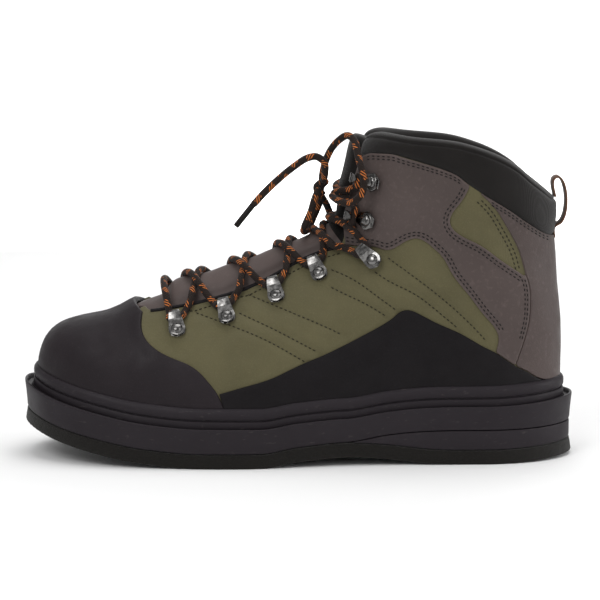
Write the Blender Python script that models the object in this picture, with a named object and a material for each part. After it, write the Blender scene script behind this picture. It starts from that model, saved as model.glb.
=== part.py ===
"""Wading boot for the left foot, put together from the pieces that a maker would use.

Frame: metres, +Z up, the toe points to -X, the outer side faces -Y and the inner side +Y.
The origin is on the floor, in the middle of the sole's length and width.
"""

import math

import bmesh
import bpy
import numpy as np
from mathutils import Matrix, Vector

# Driving dimensions of the sole, in metres.
SOLE_LENGTH = 0.326
FELT_THICKNESS = 0.0082
FELT_FLARE = 0.0012
LIFT_THICKNESS = 0.0116
MIDSOLE_THICKNESS = 0.0148
SIDEWALL_TAPER = 0.0015
RIM_OVERHANG = 0.0088
RIM_WIDTH = 0.0015
GUTTER_WIDTH = 0.0028
GUTTER_DEPTH = 0.0026
WELT_HEIGHT = 0.0122
WELT_BAND_HEIGHT = 0.0046
WELT_GROOVE_DEPTH = 0.0009
WELT_PROUD = 0.0034
INSOLE_THICKNESS = 0.0040
TOE_SPRING = 0.0204
ARCH_RISE = 0.0053

# Driving dimensions of the upper, in metres.
BALL_WIDTH = 0.1030
SHAFT_WIDTH = 0.0780
UPPER_HEIGHT = 0.1700
CROWN_ROUNDING = 0.0600
HEEL_ROUNDING = 0.0480
WALL = 0.0020
OVERLAY_THICKNESS = 0.0012
COLLAR_PAD = 0.0085
COLLAR_TUCK = 0.0140
COLLAR_RISE = 0.0120
COLLAR_BULGE = 0.0012
COLLAR_FRONT_WIDTH = 0.0490
TONGUE_THICKNESS = 0.0045
TONGUE_WIDTH = 0.0720
TONGUE_TUCK = 0.0060
TONGUE_RISE = 0.0030
TONGUE_START = 0.440

# Driving dimensions of the trims, in metres.
LOOP_LENGTH = 0.0160
LOOP_WIDTH = 0.0095
LOOP_TIP_WIDTH = 0.0050
LOOP_HEIGHT = 0.0064
STRAP_GAUGE = 0.0010
RIVET_RADIUS = 0.0036
HOOK_PLATE = 0.0120
HOOK_REACH = 0.0135
HOOK_NECK = 0.0062
HOOK_HEIGHT = 0.0072
LACE_DIAMETER = 0.0042
TIP_RADIUS = 0.0017
KNOT_SIZE = 0.0130
PULL_WIDTH = 0.0140
PULL_GAUGE = 0.0012
PULL_RISE = 0.0098
PULL_REACH = 0.0092

# Clearances between neighbouring pieces, in metres.
GAP = 0.0003
CURVED_GAP = 0.0006
OVERLAY_GAP = 0.0004
SEAM_GAP = 0.0004
WELT_CLEARANCE = 0.0010
HARDWARE_LIFT = 0.0013
LACE_END_GAP = 0.0011
BAR_END_GAP = 0.0008
LACE_CLEARANCE = 0.0068
SIDE_SPLIT = 0.0020
THROAT_SLOT = 0.0250
THROAT_CLEARANCE = 0.0050

# Mesh density: columns on each side of the boot, and rows up the upper as shares of its height.
COLUMNS = 18
ROWS = (0, 0.06, 0.11, 0.17, 0.24, 0.33, 0.42, 0.51, 0.60, 0.69, 0.765, 0.81, 0.87, 0.94, 1)
COLLAR_COLUMNS = 13
RIVET_SIDES = 6
LACE_SIDES = 6
TONGUE_ROWS = (0.385, 0.41, 0.433, 0.447, 0.48, 0.52, 0.56, 0.61, 0.645, 0.676, 0.71, 0.77, 0.83, 0.88, 0.94, 0.985)

OUTER, INNER = -1, 1


def table(columns, *rows):
    """A table with named columns, as a dictionary of lists."""
    names = columns.split()
    return {name: [row[i] for row in rows] for i, name in enumerate(names)}


# Plan of the upper where it meets the sole. share runs from toe to heel along the upper,
# outer, inner and swing are shares of BALL_WIDTH, and fullness is how square the section's
# shoulders are over the toes and the instep.
PLAN = table(
    "share outer inner swing fullness",
    (0.00, 0.490, 0.500, 0.053, 2.30),
    (0.15, 0.500, 0.500, 0.028, 2.25),
    (0.28, 0.500, 0.490, -0.002, 1.80),
    (0.38, 0.492, 0.455, -0.022, 1.62),
    (0.50, 0.445, 0.385, -0.022, 1.62),
    (0.62, 0.385, 0.330, -0.022, 1.75),
    (0.74, 0.355, 0.335, -0.022, 1.95),
    (0.86, 0.345, 0.345, -0.022, 2.00),
    (1.00, 0.340, 0.340, -0.022, 2.00),
)

# Heights of the sole. share runs from toe to heel along the sole, spring is a share of
# TOE_SPRING, arch of ARCH_RISE, lift of LIFT_THICKNESS and rim of MIDSOLE_THICKNESS.
STACK = table(
    "share spring arch lift rim",
    (0.000, 1.00, 0.00, 0.00, 1.07),
    (0.067, 0.64, 0.00, 0.00, 1.06),
    (0.140, 0.37, 0.00, 0.00, 1.04),
    (0.230, 0.12, 0.00, 0.00, 1.01),
    (0.330, 0.00, 0.00, 0.00, 1.00),
    (0.436, 0.00, 0.00, 0.00, 0.98),
    (0.500, 0.00, 0.62, 0.00, 0.96),
    (0.585, 0.00, 1.00, 0.02, 0.94),
    (0.660, 0.00, 0.70, 0.48, 0.93),
    (0.740, 0.00, 0.12, 0.92, 0.94),
    (0.780, 0.00, 0.00, 1.00, 0.94),
    (0.860, 0.00, 0.00, 1.00, 0.95),
    (0.920, 0.03, 0.00, 0.96, 1.00),
    (1.000, 0.10, 0.00, 0.90, 1.08),
)

# Side view of the upper. x is a share of SOLE_LENGTH from the toe rim, height a share of
# UPPER_HEIGHT above the midsole's top at the ball. FRONT and BACK start on the sole itself.
# rounding is how far from the ridge the section is fully wide, a share of CROWN_ROUNDING.
FRONT = table(
    "x height rounding",
    (0.0285, 0.000, 1.25),
    (0.0300, 0.182, 1.20),
    (0.0374, 0.241, 1.05),
    (0.0506, 0.282, 0.85),
    (0.0706, 0.309, 0.72),
    (0.1012, 0.328, 0.68),
    (0.1331, 0.342, 0.70),
    (0.1571, 0.356, 0.75),
    (0.1840, 0.382, 0.82),
    (0.2055, 0.406, 0.88),
    (0.2331, 0.428, 0.93),
    (0.2791, 0.455, 1.00),
    (0.3436, 0.488, 1.05),
    (0.4325, 0.546, 1.05),
    (0.5061, 0.602, 0.95),
    (0.5521, 0.644, 0.80),
    (0.5736, 0.676, 0.70),
    (0.5797, 0.722, 0.62),
    (0.5840, 0.790, 0.58),
    (0.5920, 0.870, 0.58),
    (0.6050, 0.955, 0.58),
    (0.6140, 1.000, 0.58),
    (0.6600, 1.200, 0.58),
    (0.7400, 1.600, 0.58),
)
COLLAR_ROW = 21

BACK = table(
    "x height",
    (0.9755, 0.000),
    (0.9764, 0.170),
    (0.9767, 0.276),
    (0.9724, 0.394),
    (0.9681, 0.482),
    (0.9644, 0.571),
    (0.9620, 0.641),
    (0.9644, 0.706),
    (0.9632, 0.747),
    (0.9586, 0.776),
)

# Top line of the collar and, below it, top edge of the upper's wall.
RIM = table(
    "x height",
    (0.6140, 1.000),
    (0.6500, 0.996),
    (0.7000, 0.982),
    (0.7760, 0.968),
    (0.8374, 0.935),
    (0.8712, 0.906),
    (0.8957, 0.876),
    (0.9141, 0.844),
    (0.9436, 0.800),
    (0.9586, 0.776),
)

EDGE = table(
    "x height",
    (0.5600, 0.890),
    (0.6140, 0.908),
    (0.6350, 0.925),
    (0.6650, 0.926),
    (0.6910, 0.914),
    (0.7260, 0.895),
    (0.7600, 0.874),
    (0.7810, 0.857),
    (0.8040, 0.823),
    (0.8380, 0.780),
    (0.8750, 0.736),
    (0.9100, 0.688),
    (0.9480, 0.643),
    (0.9700, 0.632),
)

# Side view outlines of the throat and of the overlays, from the same x and height.
THROAT = table(
    "x height",
    (0.2330, 0.430),
    (0.2260, 0.395),
    (0.2380, 0.380),
    (0.2710, 0.389),
    (0.3320, 0.412),
    (0.4300, 0.473),
    (0.5050, 0.548),
    (0.5480, 0.582),
    (0.5770, 0.600),
    (0.5850, 0.640),
    (0.5860, 0.706),
    (0.6000, 0.808),
    (0.6140, 0.908),
    (0.6200, 0.960),
)

TOE_BORDER = table(
    "x height",
    (0.2330, 0.460),
    (0.2240, 0.375),
    (0.2220, 0.331),
    (0.2260, 0.306),
    (0.2390, 0.275),
    (0.2660, 0.243),
    (0.3100, 0.212),
    (0.3280, 0.189),
    (0.3460, 0.152),
    (0.3600, 0.118),
    (0.3700, 0.060),
)

RAND_TOP = table(
    "x height",
    (0.3600, 0.118),
    (0.3990, 0.138),
    (0.4520, 0.167),
    (0.5050, 0.213),
    (0.5590, 0.255),
    (0.6250, 0.317),
    (0.6670, 0.361),
    (0.6830, 0.389),
    (0.6940, 0.399),
    (0.7050, 0.392),
    (0.7500, 0.347),
    (0.7910, 0.312),
    (0.8320, 0.266),
    (0.8540, 0.245),
    (0.8890, 0.197),
    (0.9130, 0.172),
    (0.9380, 0.162),
)

ANKLE_FRONT = table(
    "x height",
    (0.5880, 0.608),
    (0.6070, 0.606),
    (0.6400, 0.611),
    (0.6590, 0.592),
    (0.6780, 0.611),
    (0.6930, 0.632),
    (0.7130, 0.643),
    (0.7270, 0.632),
    (0.7380, 0.612),
    (0.7610, 0.571),
    (0.7760, 0.513),
    (0.8040, 0.449),
    (0.8310, 0.379),
    (0.8510, 0.336),
    (0.8610, 0.299),
    (0.8570, 0.262),
    (0.8520, 0.247),
)

COUNTER_FRONT = table(
    "x height",
    (0.8910, 0.206),
    (0.9050, 0.284),
    (0.9130, 0.348),
    (0.9150, 0.417),
    (0.9120, 0.480),
    (0.9050, 0.514),
)

WINDOW_FRONT = table(
    "x height",
    (0.9020, 0.508),
    (0.8560, 0.569),
    (0.8290, 0.611),
    (0.7920, 0.645),
    (0.7760, 0.666),
    (0.7670, 0.697),
    (0.7730, 0.724),
    (0.7940, 0.772),
    (0.8040, 0.813),
    (0.8060, 0.860),
)

WINDOW_BACK = table(
    "x height",
    (0.9050, 0.514),
    (0.8980, 0.563),
    (0.8940, 0.590),
    (0.8790, 0.647),
    (0.8640, 0.696),
    (0.8510, 0.737),
    (0.8190, 0.799),
    (0.8120, 0.860),
)

# Lace loops and hooks: the rivet's place and the tip's, in the same side view.
LOOPS = table(
    "x height tip_x tip_height seat",
    (0.2870, 0.320, 0.2800, 0.384, 0),
    (0.3760, 0.364, 0.3670, 0.430, 0),
    (0.4640, 0.434, 0.4570, 0.493, 0),
    (0.5410, 0.508, 0.5270, 0.565, 0),
    (0.6380, 0.558, 0.6120, 0.607, 1),
)

HOOKS = table(
    "x height tip_x tip_height seat",
    (0.6300, 0.694, 0.6010, 0.710, 1),
    (0.6400, 0.825, 0.6040, 0.842, 1),
)

# Half width of the shaft, as a share of SHAFT_WIDTH, by height.
SHAFT = table(
    "height width",
    (0.20, 0.470),
    (0.36, 0.485),
    (0.46, 0.495),
    (0.60, 0.470),
    (0.80, 0.480),
    (1.00, 0.500),
)


def smooth_curve(xs, ys):
    """A smooth function through the points that never overshoots them."""
    n = len(xs)
    h = [xs[i + 1] - xs[i] for i in range(n - 1)]
    d = [(ys[i + 1] - ys[i]) / h[i] for i in range(n - 1)]
    m = [d[0]] + [0.0] * (n - 2) + [d[-1]]
    for i in range(1, n - 1):
        if d[i - 1] * d[i] > 0:
            a, b = 2 * h[i] + h[i - 1], h[i] + 2 * h[i - 1]
            m[i] = (a + b) / (a / d[i - 1] + b / d[i])

    def value(x):
        if x <= xs[0]:
            return ys[0]
        if x >= xs[-1]:
            return ys[-1]
        i = max(k for k in range(n - 1) if xs[k] <= x)
        t = (x - xs[i]) / h[i]
        return (
            ys[i] * (1 + 2 * t) * (1 - t) ** 2
            + m[i] * h[i] * t * (1 - t) ** 2
            + ys[i + 1] * t * t * (3 - 2 * t)
            + m[i + 1] * h[i] * t * t * (t - 1)
        )

    return value


def share_curve(source, column, scale=1.0, key="share"):
    return smooth_curve(source[key], [scale * v for v in source[column]])


def blend(x, low, high):
    """Smooth step from 0 at low to 1 at high."""
    t = min(max((x - low) / (high - low), 0.0), 1.0)
    return t * t * (3 - 2 * t)


def cap(depth, fullness):
    """Rounding of a section's end: 0 at the end, 1 from a depth of 1 on."""
    return (1 - (1 - min(max(depth, 0.0), 1.0)) ** fullness) ** (1 / fullness)


# The sole's stack of heights along its length.

spring = share_curve(STACK, "spring", TOE_SPRING)
arch = share_curve(STACK, "arch", ARCH_RISE)
lift = share_curve(STACK, "lift", LIFT_THICKNESS)
midsole_depth = share_curve(STACK, "rim", MIDSOLE_THICKNESS)


def sole_share(x):
    return x / SOLE_LENGTH + 0.5


def ground(x):
    """Underside of the felt above the floor."""
    return spring(sole_share(x)) + arch(sole_share(x))


def felt_top(x):
    return ground(x) + FELT_THICKNESS


def midsole_bottom(x):
    return felt_top(x) + GAP + lift(sole_share(x))


def rim_top(x):
    return midsole_bottom(x) + midsole_depth(sole_share(x))


def shelf(x):
    """The midsole's top face, on which upper, welt and insole sit."""
    return rim_top(x) - GUTTER_DEPTH / 3


def at_x(share):
    return (share - 0.5) * SOLE_LENGTH


def at_z(height):
    return FELT_THICKNESS + MIDSOLE_THICKNESS + height * UPPER_HEIGHT


class Profile:
    """A curve in the side view, rising all the way, that can be read by height or by length."""

    def __init__(self, rows, closed_at=None, samples=400):
        points = [(at_x(x), at_z(h)) for x, h in zip(rows["x"], rows["height"])]
        points[0] = (points[0][0], shelf(points[0][0]) + GAP)
        run = [0.0]
        for a, b in zip(points, points[1:]):
            run.append(run[-1] + math.dist(a, b))
        self.whole = run[-1]
        self.length = run[closed_at] if closed_at else run[-1]
        self.x_of = smooth_curve(run, [p[0] for p in points])
        self.z_of = smooth_curve(run, [p[1] for p in points])
        steps = [run[-1] * i / samples for i in range(samples + 1)]
        self.samples = [(self.x_of(s), self.z_of(s)) for s in steps]

    def at(self, share):
        return self.x_of(share * self.length), self.z_of(share * self.length)

    def read(self, value, known, wanted):
        before = self.samples[0]
        if value <= before[known]:
            return before[wanted]
        for after in self.samples:
            if after[known] >= value:
                span = after[known] - before[known]
                t = (value - before[known]) / span if span > 0 else 0
                return before[wanted] + t * (after[wanted] - before[wanted])
            before = after
        return before[wanted]

    def share_at(self, z):
        """Share of the way up to the collar at which the curve reaches a height."""
        run = next(i for i, p in enumerate(self.samples) if p[1] >= z)
        before, after = self.samples[run - 1][1], self.samples[run][1]
        steps = len(self.samples) - 1
        return (run - 1 + (z - before) / (after - before)) / steps * self.whole / self.length

    def x_at(self, z):
        return self.read(z, 1, 0)

    def z_at(self, x):
        return self.read(x, 0, 1)


front = Profile(FRONT, COLLAR_ROW)
back = Profile(BACK)
TOE_X, HEEL_X = front.samples[0][0], back.samples[0][0]



class Ridge:
    """How deep a point of the side view lies below the ridge of toe and instep.

    The depth is smooth: it adds up the inverse cubes of the distances to the whole ridge. It is
    0 on the ridge and 1 at its rounding.
    """

    def __init__(self, rows):
        points = [(at_x(x), at_z(h)) for x, h in zip(rows["x"], rows["height"])]
        rounding = [CROWN_ROUNDING * r for r in rows["rounding"]]
        points.insert(0, (points[0][0], -points[0][1]))
        rounding.insert(0, rounding[0])
        self.start = np.array(points[:-1])
        run = np.array(points[1:]) - self.start
        self.length = np.hypot(run[:, 0], run[:, 1])
        self.along = run / self.length[:, None]
        self.weight = ((np.array(rounding[1:]) + np.array(rounding[:-1])) / 2) ** 2

    def depth(self, x, z):
        off = np.array((x, z)) - self.start
        near = (off * self.along).sum(axis=1)
        height2 = np.maximum((off**2).sum(axis=1) - near**2, 1e-14)
        far = self.length - near
        total = far / np.sqrt(height2 + far**2) + near / np.sqrt(height2 + near**2)
        return math.sqrt(2 / (self.weight * total / height2).sum())


ridge = Ridge(FRONT)
rim_height = smooth_curve([at_x(v) for v in RIM["x"]], [at_z(v) for v in RIM["height"]])
edge_height = smooth_curve([at_x(v) for v in EDGE["x"]], [at_z(v) for v in EDGE["height"]])
shaft_half = smooth_curve([at_z(v) for v in SHAFT["height"]], [v * SHAFT_WIDTH for v in SHAFT["width"]])
plan_half = {
    OUTER: share_curve(PLAN, "outer", BALL_WIDTH),
    INNER: share_curve(PLAN, "inner", BALL_WIDTH),
}
swing = share_curve(PLAN, "swing", BALL_WIDTH)
fullness = share_curve(PLAN, "fullness")


def upper_share(x):
    return min(max((x - TOE_X) / (HEEL_X - TOE_X), 0.0), 1.0)


def centre_y(x):
    """The last's centre line, which swings inwards to the big toe."""
    return swing(upper_share(x))


def half_width(side, x, z):
    """Half width of the upper's outer face at a point of the side view."""
    share = upper_share(x)
    base = plan_half[side](share)
    shaft = blend(z, at_z(0.20), at_z(0.52)) * blend(x, at_x(0.46), at_x(0.66))
    base += (shaft_half(z) - base) * shaft
    closing = cap(ridge.depth(x, z), fullness(share)) if x > front.x_at(z) else 0.0
    return base * closing * cap((back.x_at(z) - x) / HEEL_ROUNDING, 2.0)


def side_view(g, v):
    """Point of the side view at share g from front to back and share v from sole to collar."""
    xb = TOE_X + (HEEL_X - TOE_X) * g
    bottom = (xb, shelf(xb) + GAP)
    front_top, back_top = front.at(1), back.at(1)
    xt = front_top[0] + (back_top[0] - front_top[0]) * g
    top = (xt, rim_height(xt))
    corners = ((TOE_X, shelf(TOE_X) + GAP), (HEEL_X, shelf(HEEL_X) + GAP), front_top, back_top)
    fore, aft = front.at(v), back.at(v)
    point = []
    for i in (0, 1):
        low_fore, low_aft, high_fore, high_aft = (c[i] for c in corners)
        edges = (1 - v) * bottom[i] + v * top[i] + (1 - g) * fore[i] + g * aft[i]
        twist = (1 - v) * ((1 - g) * low_fore + g * low_aft) + v * ((1 - g) * high_fore + g * high_aft)
        point.append(edges - twist)
    return point


def on_body(side, x, z):
    """Point of the upper's outer face on one side, from its place in the side view."""
    return Vector((x, centre_y(x) + side * half_width(side, x, z), z))


def facing(side, x, z, step=0.0008):
    """Outward direction of the upper's outer face."""
    wx = (half_width(side, x + step, z) - half_width(side, x - step, z)) / (2 * step)
    wz = (half_width(side, x, z + step) - half_width(side, x, z - step)) / (2 * step)
    return Vector((-wx, side, -wz)).normalized()


def spaced(columns=COLUMNS):
    """Shares from front to back, closer together at both ends."""
    return [(1 - math.cos(math.pi * j / columns)) / 2 for j in range(columns + 1)]


def ring(place):
    """A closed ring round the boot: toe, outer side, heel, inner side. place(side, g) gives each point."""
    shares = spaced()
    outer = [place(OUTER, g) for g in shares]
    inner = [place(INNER, g) for g in shares[-2:0:-1]]
    return outer + inner


def plan_offset(points, out):
    """The ring moved outwards in plan."""
    n = len(points)
    moved = []
    for i, p in enumerate(points):
        along = points[(i + 1) % n] - points[i - 1]
        outward = Vector((along.y, -along.x, 0)).normalized()
        moved.append(p - outward * out if outward.dot(p - CENTRE) < 0 else p + outward * out)
    return moved


CENTRE = Vector((0, 0, 0))


def body_ring(v):
    def place(side, g):
        x, z = side_view(g, v)
        return on_body(side, x, z)

    return ring(place)


FEATHER = [p.copy() for p in body_ring(0)]


def sole_ring(out, height):
    """A ring round the sole, out from the feather line, at the height that height(x) gives."""
    points = plan_offset([Vector((p.x, p.y, 0)) for p in FEATHER], out)
    return [Vector((p.x, p.y, height(p.x))) for p in points]


# Helpers that make Blender objects.


def material(name, colour, roughness, metallic=0.0):
    found = bpy.data.materials.get(name)
    if found:
        return found
    made = bpy.data.materials.new(name)
    made.use_nodes = True
    shader = made.node_tree.nodes["Principled BSDF"]
    shader.inputs["Base Color"].default_value = (*colour, 1)
    shader.inputs["Roughness"].default_value = roughness
    shader.inputs["Metallic"].default_value = metallic
    return made


BLACK_FELT = ("felt", (0.012, 0.011, 0.010), 0.95)
RUBBER = ("sole_rubber", (0.030, 0.026, 0.030), 0.55)
BLACK_RAND = ("rand_rubber", (0.016, 0.013, 0.018), 0.60)
OLIVE = ("olive_fabric", (0.090, 0.085, 0.035), 0.80)
GREY = ("grey_synthetic", (0.070, 0.062, 0.062), 0.62)
NEOPRENE = ("black_neoprene", (0.012, 0.010, 0.009), 0.75)
FOAM = ("insole_foam", (0.030, 0.030, 0.032), 0.90)
STEEL = ("gunmetal", (0.42, 0.42, 0.44), 0.30, 1.0)
CORD = ("lace_cord", (0.030, 0.024, 0.022), 0.85)
WEBBING = ("webbing", (0.055, 0.030, 0.020), 0.80)


def mesh_object(name, bm, finish, smooth_angle=40):
    bmesh.ops.remove_doubles(bm, verts=bm.verts, dist=1e-6)
    bmesh.ops.recalc_face_normals(bm, faces=bm.faces)
    mesh = bpy.data.meshes.new(name)
    bm.to_mesh(mesh)
    bm.free()
    mesh.materials.append(material(*finish))
    if smooth_angle:
        mesh.shade_smooth()
        mesh.set_sharp_from_angle(angle=math.radians(smooth_angle))
    made = bpy.data.objects.new(name, mesh)
    bpy.context.scene.collection.objects.link(made)
    return made


def loft(bm, rings, closed_rows=False):
    """Faces between closed rings of equal length. Returns the rings' vertices."""
    rows = [[bm.verts.new(p) for p in points] for points in rings]
    pairs = list(zip(rows, rows[1:]))
    if closed_rows:
        pairs.append((rows[-1], rows[0]))
    for low, high in pairs:
        for i in range(len(low)):
            j = (i + 1) % len(low)
            bm.faces.new((low[i], low[j], high[j], high[i]))
    return rows


def strip_cap(bm, row):
    """Closes a ring round the boot by strips from its outer to its inner side."""
    n = len(row)
    for i in range(n // 2):
        corners = [row[i], row[i + 1], row[n - i - 1], row[-i % n]]
        unique = list(dict.fromkeys(corners))
        bm.faces.new(unique)


def plate(name, rings, finish):
    """A solid lofted through rings and closed at both ends."""
    bm = bmesh.new()
    rows = loft(bm, rings)
    strip_cap(bm, rows[0])
    strip_cap(bm, rows[-1])
    return mesh_object(name, bm, finish)


def shell_rings(low_offset, high_offset, rows=ROWS):
    """The upper's rings at two distances from its outer face, as two lists."""
    body = [body_ring(v) for v in rows]
    n = len(body[0])
    low, high = [], []
    for r, points in enumerate(body):
        under, over = body[max(r - 1, 0)], body[min(r + 1, len(body) - 1)]
        low_row, high_row = [], []
        for i, p in enumerate(points):
            along = points[(i + 1) % n] - points[i - 1]
            up = over[i] - under[i]
            out = along.cross(up)
            if r == 0:
                out.z = 0
            out.normalize()
            low_row.append(p + out * low_offset)
            high_row.append(p + out * high_offset)
        low.append(low_row)
        high.append(high_row)
    return low, high


def shell(name, low_offset, high_offset, finish):
    """A closed wall of the upper's form between two distances from its outer face.

    Both faces are split along the same diagonals, so that walls made this way nest.
    """
    bm = bmesh.new()
    walls = [[[bm.verts.new(p) for p in row] for row in rows] for rows in shell_rings(low_offset, high_offset)]
    n = 2 * COLUMNS
    for wall in walls:
        for under, over in zip(wall, wall[1:]):
            for i in range(n):
                j = (i + 1) % n
                bm.faces.new((under[i], under[j], over[j]))
                bm.faces.new((under[i], over[j], over[i]))
    low, high = walls
    for r in (0, -1):
        for i in range(n):
            j = (i + 1) % n
            bm.faces.new((low[r][i], low[r][j], high[r][j], high[r][i]))
    return mesh_object(name, bm, finish)


def prism(name, outline, low, high):
    """A cutter: an outline of the side view drawn out along Y."""
    bm = bmesh.new()
    rows = [[bm.verts.new((x, y, z)) for x, z in outline] for y in (low, high)]
    n = len(outline)
    for i in range(n):
        j = (i + 1) % n
        bm.faces.new((rows[0][i], rows[0][j], rows[1][j], rows[1][i]))
    bm.faces.new(rows[0])
    bm.faces.new(rows[1])
    made = mesh_object(name, bm, OLIVE, 0)
    made.hide_render = True
    made.display_type = "WIRE"
    return made


def apply_boolean(target, cutter, operation):
    step = target.modifiers.new(operation.lower(), "BOOLEAN")
    step.operation = operation
    step.object = cutter
    step.solver = "EXACT"
    graph = bpy.context.evaluated_depsgraph_get()
    mesh = bpy.data.meshes.new_from_object(target.evaluated_get(graph))
    target.modifiers.clear()
    target.data = mesh
    target.data.shade_smooth()
    target.data.set_sharp_from_angle(angle=math.radians(40))


# The sole, from the floor up.


def make_felt():
    rings = [
        sole_ring(RIM_OVERHANG - SIDEWALL_TAPER + FELT_FLARE, ground),
        sole_ring(RIM_OVERHANG - SIDEWALL_TAPER, felt_top),
    ]
    return plate("felt_sole", rings, BLACK_FELT)


def make_heel_lift():
    """The wedge between felt and midsole, from the arch back. Its front end is thin."""
    start = next(i for i, p in enumerate(FEATHER) if lift(sole_share(p.x)) > 0.05 * LIFT_THICKNESS)
    end = RIM_OVERHANG - SIDEWALL_TAPER
    low = sole_ring(end - 0.0001, lambda x: felt_top(x) + GAP)
    high = sole_ring(end, lambda x: midsole_bottom(x) - GAP)
    bm = bmesh.new()
    n = len(low)
    columns = range(start, n - start + 1)
    rows = [[bm.verts.new(points[i]) for i in columns] for points in (low, high)]
    half = len(rows[0])
    for i in range(half - 1):
        bm.faces.new((rows[0][i], rows[0][i + 1], rows[1][i + 1], rows[1][i]))
    for row in rows:
        for i in range(half // 2):
            corners = [row[i], row[i + 1], row[half - 2 - i], row[half - 1 - i]]
            bm.faces.new(list(dict.fromkeys(corners)))
    bm.faces.new((rows[0][0], rows[1][0], rows[1][-1], rows[0][-1]))
    return mesh_object("heel_lift", bm, RUBBER)


def make_midsole():
    """Sidewall, raised rim, gutter and the shelf that the upper sits on."""
    inner_rim = RIM_OVERHANG - RIM_WIDTH
    gutter_end = inner_rim - GUTTER_WIDTH
    rings = [
        sole_ring(RIM_OVERHANG - SIDEWALL_TAPER, midsole_bottom),
        sole_ring(RIM_OVERHANG, lambda x: rim_top(x) - RIM_WIDTH / 3),
        sole_ring(RIM_OVERHANG - RIM_WIDTH / 4, rim_top),
        sole_ring(inner_rim, rim_top),
        sole_ring(inner_rim - RIM_WIDTH / 4, lambda x: rim_top(x) - GUTTER_DEPTH),
        sole_ring(gutter_end, lambda x: rim_top(x) - GUTTER_DEPTH),
        sole_ring(gutter_end - RIM_WIDTH / 4, shelf),
    ]
    return plate("midsole", rings, RUBBER)


def welt_ring(out, height):
    """A ring round the upper at a height above the shelf, out from the upper's face there."""

    def place(side, g):
        x = TOE_X + (HEEL_X - TOE_X) * g
        z = shelf(x) + height
        x = front.x_at(z) + (back.x_at(z) - front.x_at(z)) * g
        return on_body(side, x, z)

    points = plan_offset(ring(place), out)
    return [Vector((p.x, p.y, shelf(p.x) + height)) for p in points]


def make_welt():
    """The foxing band with two ribs that wraps the upper's lowest edge."""
    band, top = WELT_BAND_HEIGHT, WELT_HEIGHT
    face = WELT_PROUD
    groove = face - WELT_GROOVE_DEPTH
    bead = (top - band) / 5
    inside = CURVED_GAP
    rings = [
        welt_ring(face + 0.0004, GAP),
        welt_ring(face, band - 0.0003),
        welt_ring(groove, band + 0.0003),
        welt_ring(face, band + 1.5 * bead),
        welt_ring(face - 0.0002, band + 3.5 * bead),
        welt_ring(face - 0.0016, top),
        welt_ring(inside, top - 0.0003),
        welt_ring(inside, GAP),
    ]
    bm = bmesh.new()
    loft(bm, rings, closed_rows=True)
    return mesh_object("welt", bm, RUBBER)


def make_insole():
    inset = -(WALL + CURVED_GAP)
    rings = [
        sole_ring(inset - 0.0004, lambda x: shelf(x) + GAP),
        sole_ring(inset, lambda x: shelf(x) + GAP + INSOLE_THICKNESS / 2),
        sole_ring(inset - 0.0006, lambda x: shelf(x) + GAP + INSOLE_THICKNESS),
    ]
    return plate("insole", rings, FOAM)


# The upper and what is sewn onto it.


def side_points(source):
    return [(at_x(x), at_z(h)) for x, h in zip(source["x"], source["height"])]


def overlay_floor(x):
    """Lowest line of an overlay: just above the welt."""
    return shelf(x) + WELT_HEIGHT + WELT_CLEARANCE


def floor_line(start, end, steps=10):
    """The overlays' lowest line between two lengths along the sole."""
    xs = [start + (end - start) * i / steps for i in range(steps + 1)]
    return [(x, overlay_floor(x)) for x in xs]


def inside(point, outline):
    """Whether a point of the side view lies in an outline."""
    x, z = point
    found = False
    for (xa, za), (xb, zb) in zip(outline, outline[1:] + outline[:1]):
        if (za > z) != (zb > z) and x < xa + (z - za) * (xb - xa) / (zb - za):
            found = not found
    return found


THROAT_OUTLINE = side_points(THROAT) + [(at_x(0.62), at_z(1.3)), (at_x(0.10), at_z(1.3))]
ABOVE = at_z(1.3)
BEHIND = at_x(1.08)


def ridge_frame(v):
    """Point of the instep's ridge, and the direction straight into the boot there."""
    x, z = front.at(v)
    ax, az = front.at(max(v - 0.004, 0.0))
    bx, bz = front.at(v + 0.004)
    run = math.hypot(bx - ax, bz - az)
    return (x, z), ((bz - az) / run, (ax - bx) / run)


def over_instep(v, y, out=0.0):
    """Point over the instep at station v of the ridge, y across from the centre line."""

    def place(station, across):
        (x, z), (dx, dz) = ridge_frame(station)
        side = INNER if across >= 0 else OUTER
        low, high = 0.0, 0.08
        for _ in range(26):
            middle = (low + high) / 2
            if half_width(side, x + dx * middle, z + dz * middle) < abs(across):
                low = middle
            else:
                high = middle
        x, z = x + dx * low, z + dz * low
        return Vector((x, centre_y(x) + across, z))

    point = place(v, y)
    along = place(v + 0.004, y) - place(v - 0.004, y)
    across = place(v, y + 0.0015) - place(v, y - 0.0015)
    return point + along.cross(across).normalized() * out


def throat_half(v):
    """Half width of the throat's opening at station v."""
    (x, z), (dx, dz) = ridge_frame(v)
    step = 0.0005
    depth = 0.0
    while inside((x + dx * depth, z + dz * depth), THROAT_OUTLINE) and depth < 0.05:
        depth += step
    return half_width(OUTER, x + dx * depth, z + dz * depth) if depth else 0.0


def make_top_cutter():
    xs = [at_x(v) for v in EDGE["x"]]
    steps = [xs[0] + (xs[-1] - xs[0]) * i / 22 for i in range(23)]
    line = [(x, edge_height(x)) for x in steps]
    line += [(BEHIND, line[-1][1]), (BEHIND, ABOVE), (line[0][0], ABOVE)]
    return prism("top_cutter", line, -BALL_WIDTH, BALL_WIDTH)


def make_slot_cutter():
    """Squares off the throat's edges up the shaft, where the side outline grazes the wall."""
    fore, aft, foot = at_x(0.48), at_x(0.66), at_z(0.62)
    outline = [(fore, foot), (aft, foot), (aft, ABOVE), (fore, ABOVE)]
    return prism("throat_slot", outline, -THROAT_SLOT / 2, THROAT_SLOT / 2)


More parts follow.
